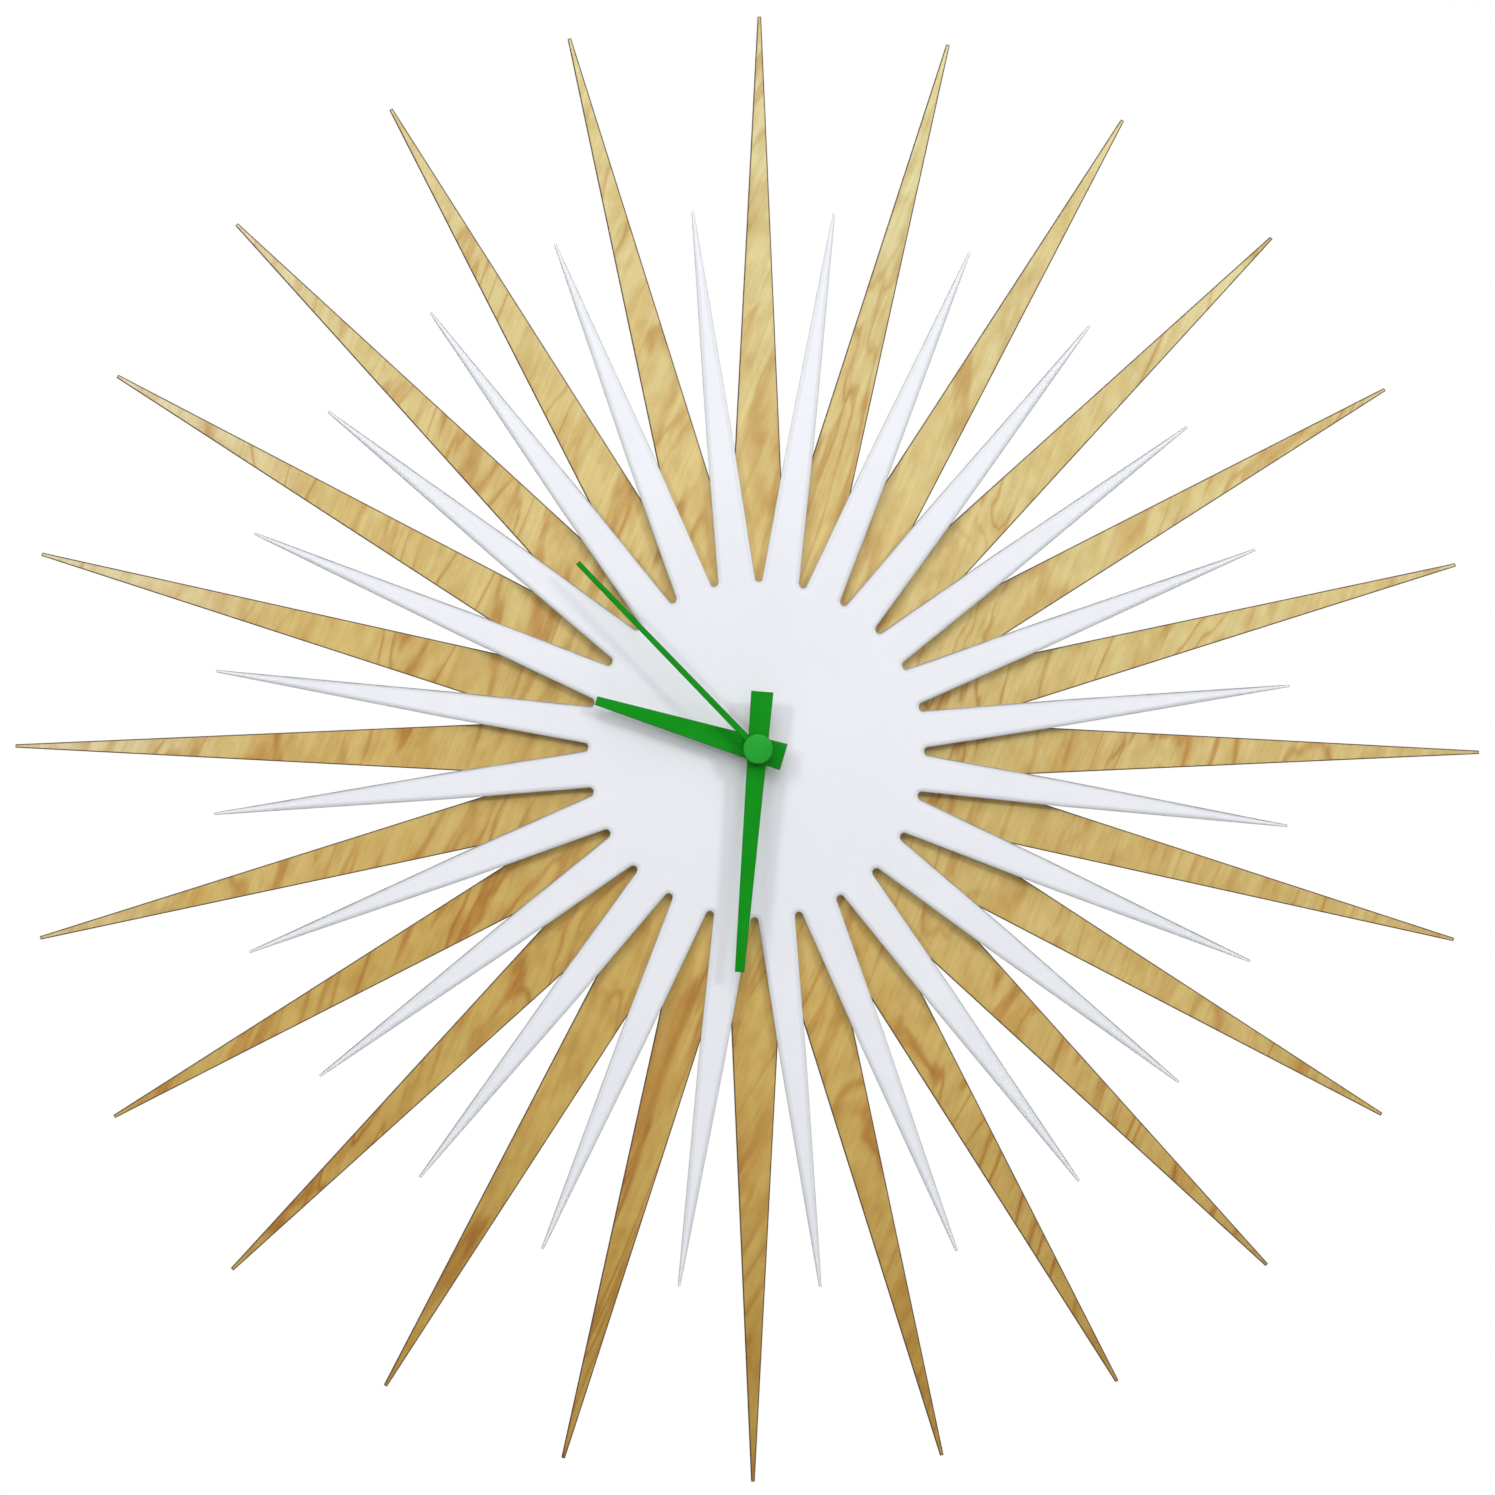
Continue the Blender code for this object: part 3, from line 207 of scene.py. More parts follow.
def put_in_scene(name, mesh, material):
    """Make an object of a finished mesh."""
    data = bpy.data.meshes.new(name)
    mesh.to_mesh(data)
    mesh.free()
    data.materials.append(material)
    thing = bpy.data.objects.new(name, data)
    bpy.context.scene.collection.objects.link(thing)
    return thing


def new_piece(name, mesh, body, material, node):
    """Put a finished mesh in the scene as a smooth piece on a body, in place of a CAD node."""
    piece = put_in_scene(name, mesh, material)
    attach(piece, body)
    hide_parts(node)
    smooth_with_weights(piece)


def smooth_with_weights(piece):
    """Smooth shading that keeps large flat faces flat."""
    for polygon in piece.data.polygons:
        polygon.use_smooth = True
    piece.data.set_sharp_from_angle(angle=SMOOTH_ANGLE)
    weights = piece.modifiers.new("weights", "WEIGHTED_NORMAL")
    weights.keep_sharp = True
    weights.weight = FACE_WEIGHT


def quarter_turn(steps):
    """The (cosine, sine) pairs along a quarter circle."""
    angles = [pi / 2 * step / steps for step in range(steps + 1)]
    return [(cos(angle), sin(angle)) for angle in angles]


def rim_sections(front, back, front_rim, back_rim, fade):
    """The (inset, level, rim) steps of a plate's side, from its back face to its front face."""
    back_arc = [(back_rim[0] * (1 - up), back - back_rim[1] * (1 - across), 1.0)
                for across, up in quarter_turn(RIM_STEPS)]
    front_arc = [(front_rim[0] * (1 - across), front + front_rim[1] * (1 - up), 1.0)
                 for across, up in quarter_turn(RIM_STEPS)]
    if not fade:
        return back_arc + front_arc
    on_back, on_front = (back_rim[0] + fade, back, 0.0), (front_rim[0] + fade, front, 0.0)
    return [on_back, *back_arc, *front_arc, on_front]


def bridge_rings(mesh, rings):
    """Faces between each ring of points and the next."""
    for ring, next_ring in zip(rings, rings[1:]):
        for i in range(len(ring)):
            mesh.faces.new((ring[i - 1], ring[i], next_ring[i], next_ring[i - 1]))


def rounded_plate(loops, front, back, front_rim, back_rim, fade=0.0):
    """A flat solid with rounded rims.

    Its 'rim' attribute is 1 on the sides and the rims. It falls to 0 over the fade's width, and
    without a fade it is 1 on the faces too.
    """
    mesh = bmesh.new()
    rim = mesh.verts.layers.float.new("rim")
    sections = rim_sections(front, back, front_rim, back_rim, fade)
    widest = max(reach for reach, level, edge_share in sections)
    front_edges, back_edges = [], []
    for points in loops:
        corners = drop_straight_points(points)
        points = spaced_points(corners)
        moves = inset_moves(points, corners)
        rings = []
        for reach, level, edge_share in sections:
            ring = []
            for point, (move, room) in zip(points, moves):
                place = point + move * reach * min(1.0, room / widest)
                vert = mesh.verts.new((place.x, level, place.y))
                vert[rim] = edge_share
                ring.append(vert)
            rings.append(ring)
        bridge_rings(mesh, rings)
        for ring, edges in ((rings[0], back_edges), (rings[-1], front_edges)):
            edges += [mesh.edges.get((ring[i - 1], ring[i])) for i in range(len(ring))]
    bmesh.ops.triangle_fill(mesh, edges=front_edges, use_beauty=True, normal=(0, -1, 0))
    bmesh.ops.triangle_fill(mesh, edges=back_edges, use_beauty=True, normal=(0, 1, 0))
    bmesh.ops.recalc_face_normals(mesh, faces=mesh.faces)
    return mesh


def join(mesh, other):
    """Move another mesh's geometry, with its rim attribute, into a mesh."""
    rim, other_rim = mesh.verts.layers.float["rim"], other.verts.layers.float["rim"]
    copies = {}
    for vert in other.verts:
        copies[vert] = mesh.verts.new(vert.co)
        copies[vert][rim] = vert[other_rim]
    for face in other.faces:
        mesh.faces.new([copies[vert] for vert in face.verts])
    other.free()


def turned_mesh(profile, centre, along="Y"):
    """A closed solid turned about an axis, from its (radius, place, rim) points end to end."""
    mesh = bmesh.new()
    rim = mesh.verts.layers.float.new("rim")
    rings = []
    for radius, level, edge_share in profile:
        ring = []
        for step in range(TURN_STEPS):
            angle = 2 * pi * step / TURN_STEPS
            side, up = radius * sin(angle), radius * cos(angle)
            if along == "Y":
                place = (centre.x + side, level, centre.z + up)
            else:
                place = (level, centre.y + side, centre.z + up)
            vert = mesh.verts.new(place)
            vert[rim] = edge_share
            ring.append(vert)
        rings.append(ring)
    bridge_rings(mesh, rings)
    mesh.faces.new(rings[0])
    mesh.faces.new(rings[-1])
    bmesh.ops.recalc_face_normals(mesh, faces=mesh.faces)
    return mesh


def soften(node, width):
    """Round a CAD node's edges with modifiers, which leave its own mesh alone."""
    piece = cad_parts[node]
    weld = piece.modifiers.new("weld", "WELD")
    weld.merge_threshold = WELD_DISTANCE
    flat = piece.modifiers.new("flat", "DECIMATE")
    flat.decimate_type = "DISSOLVE"
    flat.angle_limit = FLAT_ANGLE
    bevel = piece.modifiers.new("bevel", "BEVEL")
    bevel.width = width
    bevel.segments = EDGE_SEGMENTS
    bevel.limit_method = "ANGLE"
    bevel.angle_limit = SHARP_ANGLE
    bevel.use_clamp_overlap = True
    bevel.harden_normals = False
    weights = piece.modifiers.new("weights", "WEIGHTED_NORMAL")
    weights.keep_sharp = True


# Materials

# Maple from the clock's foot to its top, and its paler sides, as painted light: browner low down,
# paler high up
MAPLE_TONES = ((0.02, (0.50, 0.315, 0.060)), (0.35, (0.64, 0.435, 0.120)),
               (0.65, (0.71, 0.545, 0.215)), (0.98, (0.71, 0.62, 0.31)))
MAPLE_PALE = (0.76, 0.69, 0.38)
MAPLE_LIT_UPPER_LEFT = (0.78, 0.72, 0.52)
MAPLE_REACH = 0.29                      # how far from the centre the tones go on changing
GRAIN_TURN = (0.0, radians(68), 0.0)    # the turn that lays the noise along the grain

# What darkens the maple: its figure's lines and blotches, its mottling and its fibres
FIGURE_TINT = (0.72, 0.46, 0.20)
BLOTCH_TINT = (0.88, 0.72, 0.46)
MOTTLE_TINT = (0.84, 0.74, 0.56)
FIBRE_TINT = (0.82, 0.77, 0.68)
CHAR_DARK = (0.045, 0.022, 0.010)
CHAR_LIGHT = (0.16, 0.085, 0.035)

WHITE = (1.0, 1.0, 1.0)
SHEET_DARK = (0.820, 0.815, 0.882)
SHEET_LIGHT = (0.845, 0.840, 0.904)
# painted shade on the white sheet's rounded rims and sides
SHEET_RIM_SHADE = (0.74, 0.75, 0.80)
# painted shade on the white sheet's upward-facing rims
SHEET_UP_RIM_SHADE = (0.20, 0.20, 0.215)
RIM_PAINTED_SHADE = 0.40                      # how bright the painted shade on a rim is beside the paint's face
BRUSHING = (40.0, 40.0, 1500.0)
WORN_METAL = 1.25                       # how bright a worn metal edge is beside its face
RUBBER_BLACK = (0.012, 0.012, 0.013)
RUBBER_BLOOM = (0.045, 0.044, 0.043)
BATTERY_STEEL = (0.55, 0.56, 0.58)
FILM_BLUE = (0.03, 0.06, 0.11)
FILM_GREY = (0.42, 0.44, 0.46)
FILM_SCUFF = (0.30, 0.32, 0.34)
FLOOR_DARK = (0.93, 0.93, 0.93)
FLOOR_LIGHT = (0.95, 0.95, 0.95)

# Where the Mix node keeps its sockets for colours
MIX_FACTOR, MIX_A, MIX_B, MIX_RESULT = 0, 6, 7, 2


class Surface:
    """A Principled material being built, with short ways to add its nodes."""

    def __init__(self, name, roughness=0.5, metallic=0.0):
        self.material = bpy.data.materials.new(name)
        self.material.use_nodes = True
        self.tree = self.material.node_tree
        self.shader = self.tree.nodes["Principled BSDF"]
        self.shader.inputs["Roughness"].default_value = roughness
        self.shader.inputs["Metallic"].default_value = metallic
        coordinates = self.add("ShaderNodeTexCoord")
        self.place = coordinates.outputs["Object"]
        self.facing = coordinates.outputs["Normal"]

    def add(self, kind, **settings):
        """A new node, with its own properties set."""
        node = self.tree.nodes.new(kind)
        for name, value in settings.items():
            setattr(node, name, value)
        return node

    def put(self, value, socket):
        """Link an output to an input, or set the input to a plain value."""
        if isinstance(value, bpy.types.NodeSocket):
            self.tree.links.new(value, socket)
        elif socket.type == "RGBA":
            socket.default_value = (*value, 1.0)
        else:
            socket.default_value = value

    def fix(self, values):
        """Set plain numbers on the shader's own sockets."""
        for name, value in values.items():
            self.shader.inputs[name].default_value = value

    def rim(self):
        """The mesh's 'rim' attribute."""
        return self.add("ShaderNodeAttribute", attribute_name="rim").outputs["Fac"]

    def parts(self, vector):
        """A vector's X, Y and Z."""
        node = self.add("ShaderNodeSeparateXYZ")
        self.put(vector, node.inputs[0])
        return node.outputs

    def mapped(self, turn=(0.0, 0.0, 0.0), scale=(1.0, 1.0, 1.0)):
        """Object coordinates, turned and then stretched."""
        turned = self.add("ShaderNodeMapping", vector_type="POINT")
        self.put(self.place, turned.inputs["Vector"])
        turned.inputs["Rotation"].default_value = turn
        stretched = self.add("ShaderNodeMapping", vector_type="POINT")
        self.put(turned.outputs[0], stretched.inputs["Vector"])
        stretched.inputs["Scale"].default_value = scale
        return stretched.outputs[0]

    def noise(self, scale, detail=3.0, vector=None, distortion=0.0, roughness=0.5):
        """Noise from 0 to 1."""
        node = self.add("ShaderNodeTexNoise")
        self.put(vector or self.place, node.inputs["Vector"])
        node.inputs["Scale"].default_value = scale
        node.inputs["Detail"].default_value = detail
        node.inputs["Roughness"].default_value = roughness
        node.inputs["Distortion"].default_value = distortion
        return node.outputs[0]

    def ramp(self, factor, stops):
        """A grey or coloured ramp over (position, value) stops."""
        node = self.add("ShaderNodeValToRGB")
        elements = node.color_ramp.elements
        while len(elements) < len(stops):
            elements.new(0.5)
        for element, (position, value) in zip(elements, stops):
            element.position = position
            colour = value if isinstance(value, tuple) else (value, value, value)
            element.color = (*colour, 1.0)
        self.put(factor, node.inputs["Fac"])
        return node.outputs["Color"]

    def two_tones(self, scale, detail, dark, light):
        """Two colours, mixed by soft noise."""
        return self.ramp(self.noise(scale, detail), ((0.3, dark), (0.7, light)))

    def mix(self, factor, a, b, blend="MIX"):
        """Blend two colours."""
        node = self.add("ShaderNodeMix", data_type="RGBA", blend_type=blend, clamp_factor=True)
        self.put(factor, node.inputs[MIX_FACTOR])
        self.put(a, node.inputs[MIX_A])
        self.put(b, node.inputs[MIX_B])
        return node.outputs[MIX_RESULT]

    def calculate(self, operation, a, b=0.0, c=0.0):
        """Arithmetic on numbers."""
        node = self.add("ShaderNodeMath", operation=operation)
        for value, socket in zip((a, b, c), node.inputs):
            self.put(value, socket)
        return node.outputs[0]

    def spread(self, factor, low, high):
        """A 0 to 1 number spread between two others."""
        node = self.add("ShaderNodeMapRange")
        self.put(factor, node.inputs["Value"])
        node.inputs["To Min"].default_value = low
        node.inputs["To Max"].default_value = high
        return node.outputs[0]

    def spread_from(self, value, low, high):
        """A number between two others as a share from 0 to 1."""
        node = self.add("ShaderNodeMapRange")
        self.put(value, node.inputs["Value"])
        node.inputs["From Min"].default_value = low
        node.inputs["From Max"].default_value = high
        return node.outputs[0]

    def bump(self, height, strength, distance):
        """Relief on the shader, on top of any that is there."""
        node = self.add("ShaderNodeBump")
        node.inputs["Strength"].default_value = strength
        node.inputs["Distance"].default_value = distance
        self.put(height, node.inputs["Height"])
        normal = self.shader.inputs["Normal"]
        if normal.is_linked:
            self.put(normal.links[0].from_socket, node.inputs["Normal"])
        self.put(node.outputs[0], normal)

    def edge(self, low=0.52, high=0.62):
        """1 along worn edges, from how pointed the surface is."""
        pointed = self.add("ShaderNodeNewGeometry").outputs["Pointiness"]
        return self.ramp(pointed, ((low, 0.0), (high, 1.0)))

    def colour(self, value):
        self.put(value, self.shader.inputs["Base Color"])

    def roughness(self, value):
        self.put(value, self.shader.inputs["Roughness"])


def maple_ground(surface, place, rise):
    """The veneer's colour with painted light: browner at the foot, paler at the top, at the upper
    right and at the upper left.
    """
    cloud = surface.noise(7.0, 3.0, surface.mapped(GRAIN_TURN), 0.4)
    drift = surface.calculate("MULTIPLY", surface.calculate("SUBTRACT", cloud, 0.5), 0.5)
    # painted light: the tones run with height, and the upper right and upper left are paler
    ground = surface.ramp(surface.calculate("ADD", rise, drift), MAPLE_TONES)
    to_right = surface.spread_from(place["X"], 0.0, MAPLE_REACH)
    to_upper_right = surface.calculate("MULTIPLY", to_right, rise)
    ground = surface.mix(surface.calculate("MULTIPLY", to_upper_right, 0.80), ground, MAPLE_PALE)
    leftward = surface.calculate("MULTIPLY", place["X"], -1.0)
    to_upper_left = surface.calculate("MULTIPLY_ADD", place["Z"], 0.35, leftward)
    return surface.mix(surface.spread_from(to_upper_left, 0.20, 0.33), ground, MAPLE_LIT_UPPER_LEFT)


def maple_lines(surface, bands, calm):
    """Where the figure's thin lines are, fading in and out over the sheet."""
    lines = surface.ramp(bands, ((0.0, 1.0), (0.10, 0.80), (0.32, 0.15), (0.70, 0.0)))
    strength = surface.ramp(surface.noise(18.0, 2.0), ((0.36, 0.28), (0.60, 1.0)))
    return surface.calculate("MULTIPLY", lines, surface.calculate("MULTIPLY", strength, calm))


def maple_blotches(surface, calm):
    """Where the figure's soft blotches are."""
    spots = surface.noise(1.0, 3.0, surface.mapped(GRAIN_TURN, (26.0, 60.0, 75.0)))
    return surface.calculate("MULTIPLY", surface.ramp(spots, ((0.54, 0.0), (0.72, 0.75))), calm)


def maple_char(surface):
    """The laser's scorching, streaked across the sheet's thickness."""
    streaks = surface.noise(1.0, 3.0, surface.mapped(scale=(900.0, 20.0, 900.0)))
    return surface.ramp(streaks, ((0.30, CHAR_DARK), (0.70, CHAR_LIGHT)))


def maple():
    """Maple veneer with its grain running up to the right, and scorched laser-cut sides."""
    surface = Surface("maple_veneer")
    place = surface.parts(surface.place)
    rise = surface.spread_from(place["Z"], -MAPLE_REACH, MAPLE_REACH)
    calm = surface.calculate("SUBTRACT", 1.15, surface.calculate("MULTIPLY", rise, 0.55))
    rings = surface.noise(1.0, 4.0, surface.mapped(GRAIN_TURN, (4.5, 30.0, 21.0)), 0.9, 0.46)
    bands = surface.calculate("PINGPONG", surface.calculate("MULTIPLY", rings, 20.0), 1.0)
    fibres = surface.noise(1.0, 4.0, surface.mapped(GRAIN_TURN, (18.0, 200.0, 700.0)), 0.2)
    patches = surface.noise(1.0, 4.0, surface.mapped(GRAIN_TURN, (90.0, 150.0, 190.0)))

    veneer = maple_ground(surface, place, rise)
    veneer = surface.mix(maple_lines(surface, bands, calm), veneer, FIGURE_TINT, "MULTIPLY")
    veneer = surface.mix(maple_blotches(surface, calm), veneer, BLOTCH_TINT, "MULTIPLY")
    mottle = surface.ramp(patches, ((0.34, MOTTLE_TINT), (0.58, WHITE)))
    veneer = surface.mix(0.65, veneer, mottle, "MULTIPLY")
    fibre_tone = surface.ramp(fibres, ((0.30, FIBRE_TINT), (0.62, WHITE)))
    veneer = surface.mix(0.55, veneer, fibre_tone, "MULTIPLY")

    scorch = surface.ramp(surface.rim(), ((0.35, 0.0), (0.95, 1.0)))
    surface.colour(surface.mix(scorch, veneer, maple_char(surface)))
    surface.roughness(surface.spread(fibres, 0.42, 0.62))
    surface.bump(fibres, 0.25, 0.06 * MM)
    surface.bump(bands, 0.06, 0.04 * MM)
    return surface.material


def white_sheet():
    """Milky white sheet: satin faces that let light spread inside, painted shade on its greyer
    rims, and darker painted shade on its upward-facing rims.
    """
    surface = Surface("white_sheet")
    rim = surface.rim()
    face = surface.two_tones(18.0, 3.0, SHEET_DARK, SHEET_LIGHT)
    upward = surface.spread_from(surface.parts(surface.facing)["Z"], 0.10, 0.60)
    speckle = surface.ramp(surface.noise(120.0, 2.0), ((0.3, 0.80), (0.6, 1.0)))
    # painted shade: the upward-facing rims darkened, broken up by speckle
    up_rim_shade = surface.calculate("MULTIPLY", surface.calculate("MULTIPLY", upward, rim), speckle)
    # painted shade: the rims greyer than the faces, the upward-facing rims darker still
    surface.colour(surface.mix(up_rim_shade, surface.mix(rim, face, SHEET_RIM_SHADE), SHEET_UP_RIM_SHADE))
    surface.roughness(surface.spread(surface.noise(60.0, 4.0), 0.34, 0.48))
    surface.bump(surface.noise(150.0, 1.0), 0.04, 0.05 * MM)
    surface.bump(surface.noise(25.0, 2.0), 0.08, 0.10 * MM)
    surface.fix({"Coat Weight": 0.15, "Coat Roughness": 0.3, "Subsurface Weight": 0.25,
                 "Subsurface Scale": 3.0 * MM, "Subsurface Radius": (1.0, 0.9, 1.0)})
    return surface.material


def green_paint(name, dark, light):
    """Matt green paint, with a fine orange-peel relief and painted shade on its rims."""
    surface = Surface(name)
    paint = surface.two_tones(90.0, 4.0, dark, light)
    # painted shade: the rims darker than the paint's face
    shade = tuple(part * RIM_PAINTED_SHADE for part in dark)
    surface.colour(surface.mix(surface.ramp(surface.rim(), ((0.5, 0.0), (1.0, 1.0))), paint, shade))
    surface.roughness(surface.spread(surface.noise(400.0, 3.0), 0.42, 0.60))
    surface.bump(surface.noise(1800.0, 2.0), 0.12, 0.02 * MM)
    surface.fix({"Specular IOR Level": 0.12})
    return surface.material


def plastic(name, dark, light, roughness=(0.42, 0.62), grain=2200.0, wear=(0.25, 0.25, 0.26)):
    """Moulded plastic with an eroded texture, tone changes and polished edges."""
    surface = Surface(name)
    body = surface.two_tones(70.0, 4.0, dark, light)
    scuffs = surface.ramp(surface.noise(1100.0, 6.0, distortion=1.5), ((0.50, 0.0), (0.64, 1.0)))
    worn = surface.calculate("MULTIPLY", surface.edge(0.60, 0.80), scuffs)
    surface.colour(surface.mix(surface.calculate("MULTIPLY", worn, 0.35), body, wear))
    rough = surface.spread(surface.noise(180.0, 4.0), *roughness)
    polish = surface.calculate("MULTIPLY", worn, 0.15)
    surface.roughness(surface.calculate("SUBTRACT", rough, polish))
    surface.bump(surface.noise(grain, 3.0), 0.30, 0.05 * MM)
    return surface.material


def metal(name, dark, light, roughness=(0.22, 0.42), metallic=1.0):
    """Plated or turned metal with fine brushing and brighter worn edges."""
    surface = Surface(name, metallic=metallic)
    lines = surface.noise(1.0, 3.0, surface.mapped(scale=BRUSHING))
    body = surface.two_tones(120.0, 4.0, dark, light)
    bright = tuple(min(1.0, part * WORN_METAL) for part in light)
    surface.colour(surface.mix(surface.calculate("MULTIPLY", surface.edge(), 0.5), body, bright))
    surface.roughness(surface.spread(lines, *roughness))
    surface.bump(lines, 0.15, 0.02 * MM)
    return surface.material


def rubber():
    """Dull black rubber with a dusty bloom."""
    surface = Surface("rubber_skin")
    bloom = surface.noise(140.0, 5.0)
    surface.colour(surface.ramp(bloom, ((0.35, RUBBER_BLACK), (0.75, RUBBER_BLOOM))))
    surface.roughness(surface.spread(bloom, 0.70, 0.92))
    surface.bump(surface.noise(1500.0, 3.0), 0.35, 0.05 * MM)
    return surface.material


def battery_wrap():
    """The battery's plain film: a dark blue sleeve with a grey band near its positive end."""
    surface = Surface("battery_film")
    low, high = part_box("battery_can")
    share = surface.spread_from(surface.parts(surface.place)["X"], low.x, high.x)
    bands = surface.ramp(share, ((0.0, BATTERY_STEEL), (0.035, FILM_BLUE), (0.66, FILM_BLUE),
                                 (0.70, FILM_GREY), (0.96, FILM_GREY), (0.97, BATTERY_STEEL)))
    scuffs = surface.ramp(surface.noise(300.0, 6.0, distortion=1.0), ((0.55, 0.0), (0.75, 0.25)))
    surface.colour(surface.mix(scuffs, bands, FILM_SCUFF))
    surface.roughness(surface.spread(surface.noise(90.0, 4.0), 0.22, 0.38))
    surface.bump(surface.noise(200.0, 2.0), 0.05, 0.05 * MM)
    surface.fix({"Coat Weight": 0.4, "Coat Roughness": 0.15})
    return surface.material


def finishes():
    """The material for each of the record's slots."""
    return {
        "maple": maple(),
        "white_acrylic": white_sheet(),
        "green_paint": green_paint("green_paint_coat", (0.001, 0.248, 0.004),
                                   (0.003, 0.278, 0.008)),
        "cap_green": green_paint("cap_paint_coat", (0.014, 0.32, 0.024), (0.020, 0.36, 0.032)),
        "black_plastic": plastic("case_plastic", (0.012, 0.012, 0.013), (0.022, 0.022, 0.024)),
        "grey_plastic": plastic("grey_moulding", (0.24, 0.25, 0.26), (0.32, 0.33, 0.34),
                                wear=(0.45, 0.46, 0.47)),
        "white_plastic": plastic("gear_plastic", (0.70, 0.69, 0.64), (0.78, 0.77, 0.72),
                                 wear=(0.85, 0.85, 0.82)),
        "rubber": rubber(),
        "zinc_steel": metal("zinc_plate", (0.50, 0.51, 0.53), (0.66, 0.67, 0.69)),
        "brass": metal("brass_turned", (0.66, 0.46, 0.17), (0.82, 0.62, 0.28)),
        "copper": metal("copper_wire", (0.62, 0.27, 0.12), (0.80, 0.38, 0.20)),
        "dark_magnet": metal("sintered_magnet", (0.05, 0.05, 0.055), (0.09, 0.09, 0.10),
                             (0.45, 0.6), metallic=0.6),
        "board_green": plastic("circuit_resin", (0.010, 0.12, 0.05), (0.02, 0.17, 0.07),
                               (0.3, 0.45), 900.0, (0.1, 0.3, 0.15)),
        "black_epoxy": plastic("epoxy_drop", (0.008, 0.008, 0.009), (0.016, 0.016, 0.017),
                               (0.2, 0.3), 500.0, (0.05, 0.05, 0.05)),
        "battery_wrap": battery_wrap(),
    }


# The object

def dress_nodes(materials):
    """Give every CAD node its slot's material."""
    for name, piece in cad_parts.items():
        slot = piece.data.materials[0].name.split(".")[0]
        piece.data.materials[0] = materials[slot]


def make_sheet(name, node, material, front_rim, fade):
    """One of the two sunbursts as a sheet with rounded rims."""
    low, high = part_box(node)
    mesh = rounded_plate(flat_loops(node), low.y, high.y, front_rim, BACK_RIM, fade)
    new_piece(name, mesh, "root", material, node)


def make_hand(name, node, body, material):
    """A hand as a blade with rounded rims and a collar behind it."""
    low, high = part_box(node)
    levels = sorted({round(v.co.y, LEVEL_DIGITS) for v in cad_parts[node].data.vertices})
    blade_back = levels[1]
    mesh = rounded_plate(flat_loops(node), low.y, blade_back, HAND_RIM, HAND_RIM, HAND_FADE)
    collar = rounded_plate(flat_loops(node, front=False), blade_back - COLLAR_OVERLAP, high.y,
                           COLLAR_RIM, COLLAR_RIM)
    join(mesh, collar)
    new_piece(name, mesh, body, material, node)


def make_cap(material):
    """The round cap over the hub, with a well-rounded edge and a very slight crown."""
    low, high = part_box("second_hand_cap")
    radius = (high.x - low.x) / 2
    crown = low.y + CAP_CROWN
    profile = [(radius - CAP_BACK_EDGE, high.y, 1.0), (radius, high.y - CAP_BACK_EDGE, 1.0)]
    for across, up in quarter_turn(CAP_STEPS):
        profile.append((radius - CAP_EDGE * (1 - across), crown + CAP_EDGE * (1 - up), across))
    for step in range(1, CAP_STEPS + 1):
        share = 1 - step / CAP_STEPS * CAP_CROWN_REACH
        profile.append(((radius - CAP_EDGE) * share, low.y + CAP_CROWN * share ** 2, 0.0))
    new_piece("hub_cap", turned_mesh(profile, (low + high) / 2), "seconds_set", material,
              "second_hand_cap")


def make_battery(material):
    """The battery's can: film rolled over both ends, and a crimp below its positive end."""
    low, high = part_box("battery_can")
    radius = (high.z - low.z) / 2
    lip, well = radius * BATTERY_LIP, radius * BATTERY_WELL
    roll = BATTERY_ROLL
    crimp = high.x - BATTERY_CRIMP_PLACE
    arc = quarter_turn(RIM_STEPS)
    profile = [(well, low.x + roll / 2, 0.0), (lip, low.x, 0.0), (radius - roll, low.x, 0.5)]
    profile += [(radius - roll * (1 - up), low.x + roll * (1 - across), 1.0)
                for across, up in arc[1:]]
    profile += [(radius, low.x + 2 * roll, 0.0)]
    for step in range(BATTERY_CRIMP_STEPS + 1):
        share = step / BATTERY_CRIMP_STEPS
        profile.append((radius - BATTERY_CRIMP * sin(pi * share) ** 2,
                        crimp + BATTERY_CRIMP_WIDTH * (share - 0.5), 0.0))
    profile += [(radius, high.x - 2 * roll, 0.0)]
    profile += [(radius - roll * (1 - across), high.x - roll * (1 - up), 1.0)
                for across, up in arc]
    profile += [(lip, high.x, 0.5), (well, high.x - roll / 2, 0.0)]
    new_piece("battery_sleeve", turned_mesh(profile, (low + high) / 2, "X"), "battery", material,
              "battery_can")


def build_object():
    """Dress the CAD and replace what the camera sees up close."""
    materials = finishes()
    dress_nodes(materials)
    make_sheet("wood_sheet", "wood_sunburst", materials["maple"], WOOD_RIM, CHAR_WIDTH)
    make_sheet("white_sunburst_sheet", "acrylic_sunburst", materials["white_acrylic"],
               ACRYLIC_RIM, ACRYLIC_FADE)
    green = materials["green_paint"]
    make_hand("hour_blade", "hour_hand", "hour_set", green)
    make_hand("minute_blade", "minute_hand", "minute_set", green)
    make_hand("second_blade", "second_hand", "seconds_set", green)
    make_cap(materials["cap_green"])
    make_battery(materials["battery_wrap"])
    for nodes, width in ((THICK_PIECES, EDGE_ROUND), (THIN_PIECES, THIN_EDGE_ROUND)):
        for node in nodes:
            soften(node, width)


# Surroundings

KEY_TINT = (0.85, 1.0, 0.85)            # so that the keys' shadows on white look slightly pink
FILL_TINT = (1.0, 0.945, 1.0)
AMBIENT_TINT = (0.98, 0.95, 1.0)
AMBIENT_STRENGTH = 0.15
KEY = {"distance": 2.2, "size": 0.32, "power": 13.0, "tint": KEY_TINT}


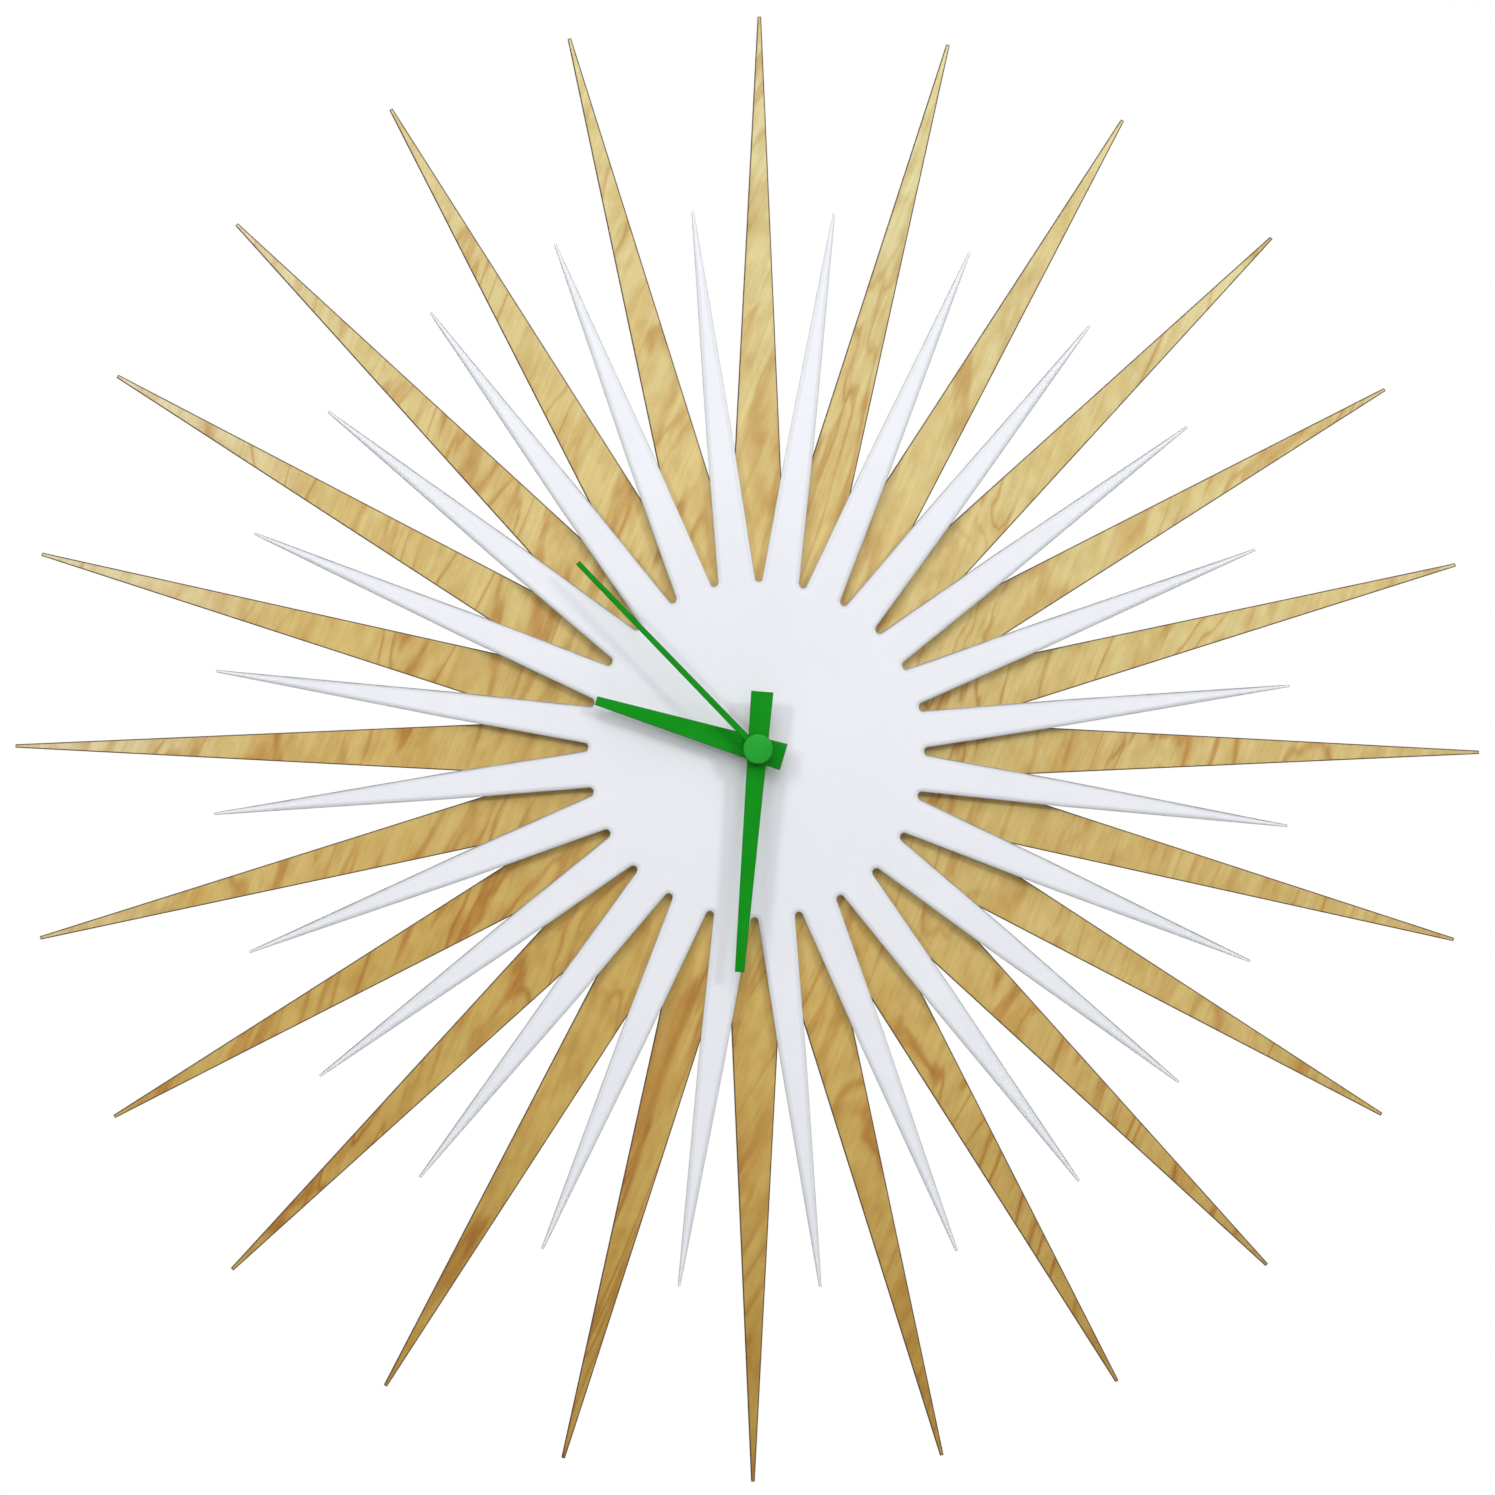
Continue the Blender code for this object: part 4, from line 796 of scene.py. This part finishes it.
def add_area(name, azimuth, elevation, distance, size, power, tint=WHITE):
    """A soft square light, aimed at the clock. Azimuth runs from the front towards the right."""
    azimuth, elevation = radians(azimuth), radians(elevation)
    data = bpy.data.lights.new(name, "AREA")
    data.shape = "SQUARE"
    data.size = size
    data.energy = power
    data.color = tint
    lamp = bpy.data.objects.new(name, data)
    bpy.context.scene.collection.objects.link(lamp)
    direction = Vector((sin(azimuth) * cos(elevation), -cos(azimuth) * cos(elevation),
                        sin(elevation)))
    lamp.location = direction * distance
    lamp.rotation_euler = direction.to_track_quat("Z", "Y").to_euler()
    lamp.visible_camera = False


def build_world():
    """A white background, dimmer as a light than as a backdrop."""
    world = bpy.data.worlds.new("studio")
    bpy.context.scene.world = world
    world.use_nodes = True
    tree = world.node_tree
    backdrop = tree.nodes["Background"]
    backdrop.inputs["Color"].default_value = (*WHITE, 1.0)
    backdrop.inputs["Strength"].default_value = 1.0
    ambient = tree.nodes.new("ShaderNodeBackground")
    ambient.inputs["Color"].default_value = (*AMBIENT_TINT, 1.0)
    ambient.inputs["Strength"].default_value = AMBIENT_STRENGTH
    path = tree.nodes.new("ShaderNodeLightPath")
    choice = tree.nodes.new("ShaderNodeMixShader")
    tree.links.new(path.outputs["Is Camera Ray"], choice.inputs[0])
    tree.links.new(ambient.outputs[0], choice.inputs[1])
    tree.links.new(backdrop.outputs[0], choice.inputs[2])
    tree.links.new(choice.outputs[0], tree.nodes["World Output"].inputs["Surface"])


def build_floor():
    """A pale round floor at standing height below the clock."""
    mesh = bmesh.new()
    bmesh.ops.create_circle(mesh, cap_ends=True, radius=FLOOR_RADIUS, segments=FLOOR_SIDES)
    bmesh.ops.translate(mesh, verts=mesh.verts, vec=(0, 0, FLOOR_LEVEL))
    surface = Surface("floor_paint")
    surface.colour(surface.two_tones(3.0, 3.0, FLOOR_DARK, FLOOR_LIGHT))
    surface.roughness(surface.spread(surface.noise(9.0, 3.0), 0.6, 0.75))
    put_in_scene("floor", mesh, surface.material)


def build_camera():
    """The camera at the picture's viewing angle."""
    data = bpy.data.cameras.new("camera")
    data.sensor_width = SENSOR
    data.lens = SENSOR * CAMERA_DISTANCE / FRAME_WIDTH
    data.clip_start, data.clip_end = CLIP_RANGE
    camera = bpy.data.objects.new("camera", data)
    bpy.context.scene.collection.objects.link(camera)
    back = Vector((-sin(CAMERA_LEFT) * cos(CAMERA_UP), -cos(CAMERA_LEFT) * cos(CAMERA_UP),
                   sin(CAMERA_UP)))
    aim = Vector((CAMERA_AIM[0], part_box("wood_sunburst")[0].y, CAMERA_AIM[1]))
    camera.location = aim + back * CAMERA_DISTANCE
    camera.rotation_euler = back.to_track_quat("Z", "Y").to_euler()
    camera.rotation_euler.rotate_axis("Z", CAMERA_ROLL)
    bpy.context.scene.camera = camera


def build_lights():
    """Two small keys above left and right, wide fills above and in front, and one behind."""
    add_area("key_left", -47, 24, **KEY)
    add_area("key_right", 46, 23, **KEY)
    add_area("top_fill", 0, 54, distance=2.4, size=2.2, power=51.0, tint=FILL_TINT)
    add_area("front_fill", 0, 12, distance=3.0, size=3.0, power=10.0, tint=FILL_TINT)
    add_area("back_fill", 180, 25, distance=3.0, size=2.5, power=60.0)


build_object()
build_world()
build_floor()
build_camera()
build_lights()
scene = bpy.context.scene
scene.view_settings.view_transform = "Standard"
scene.view_settings.look = "None"
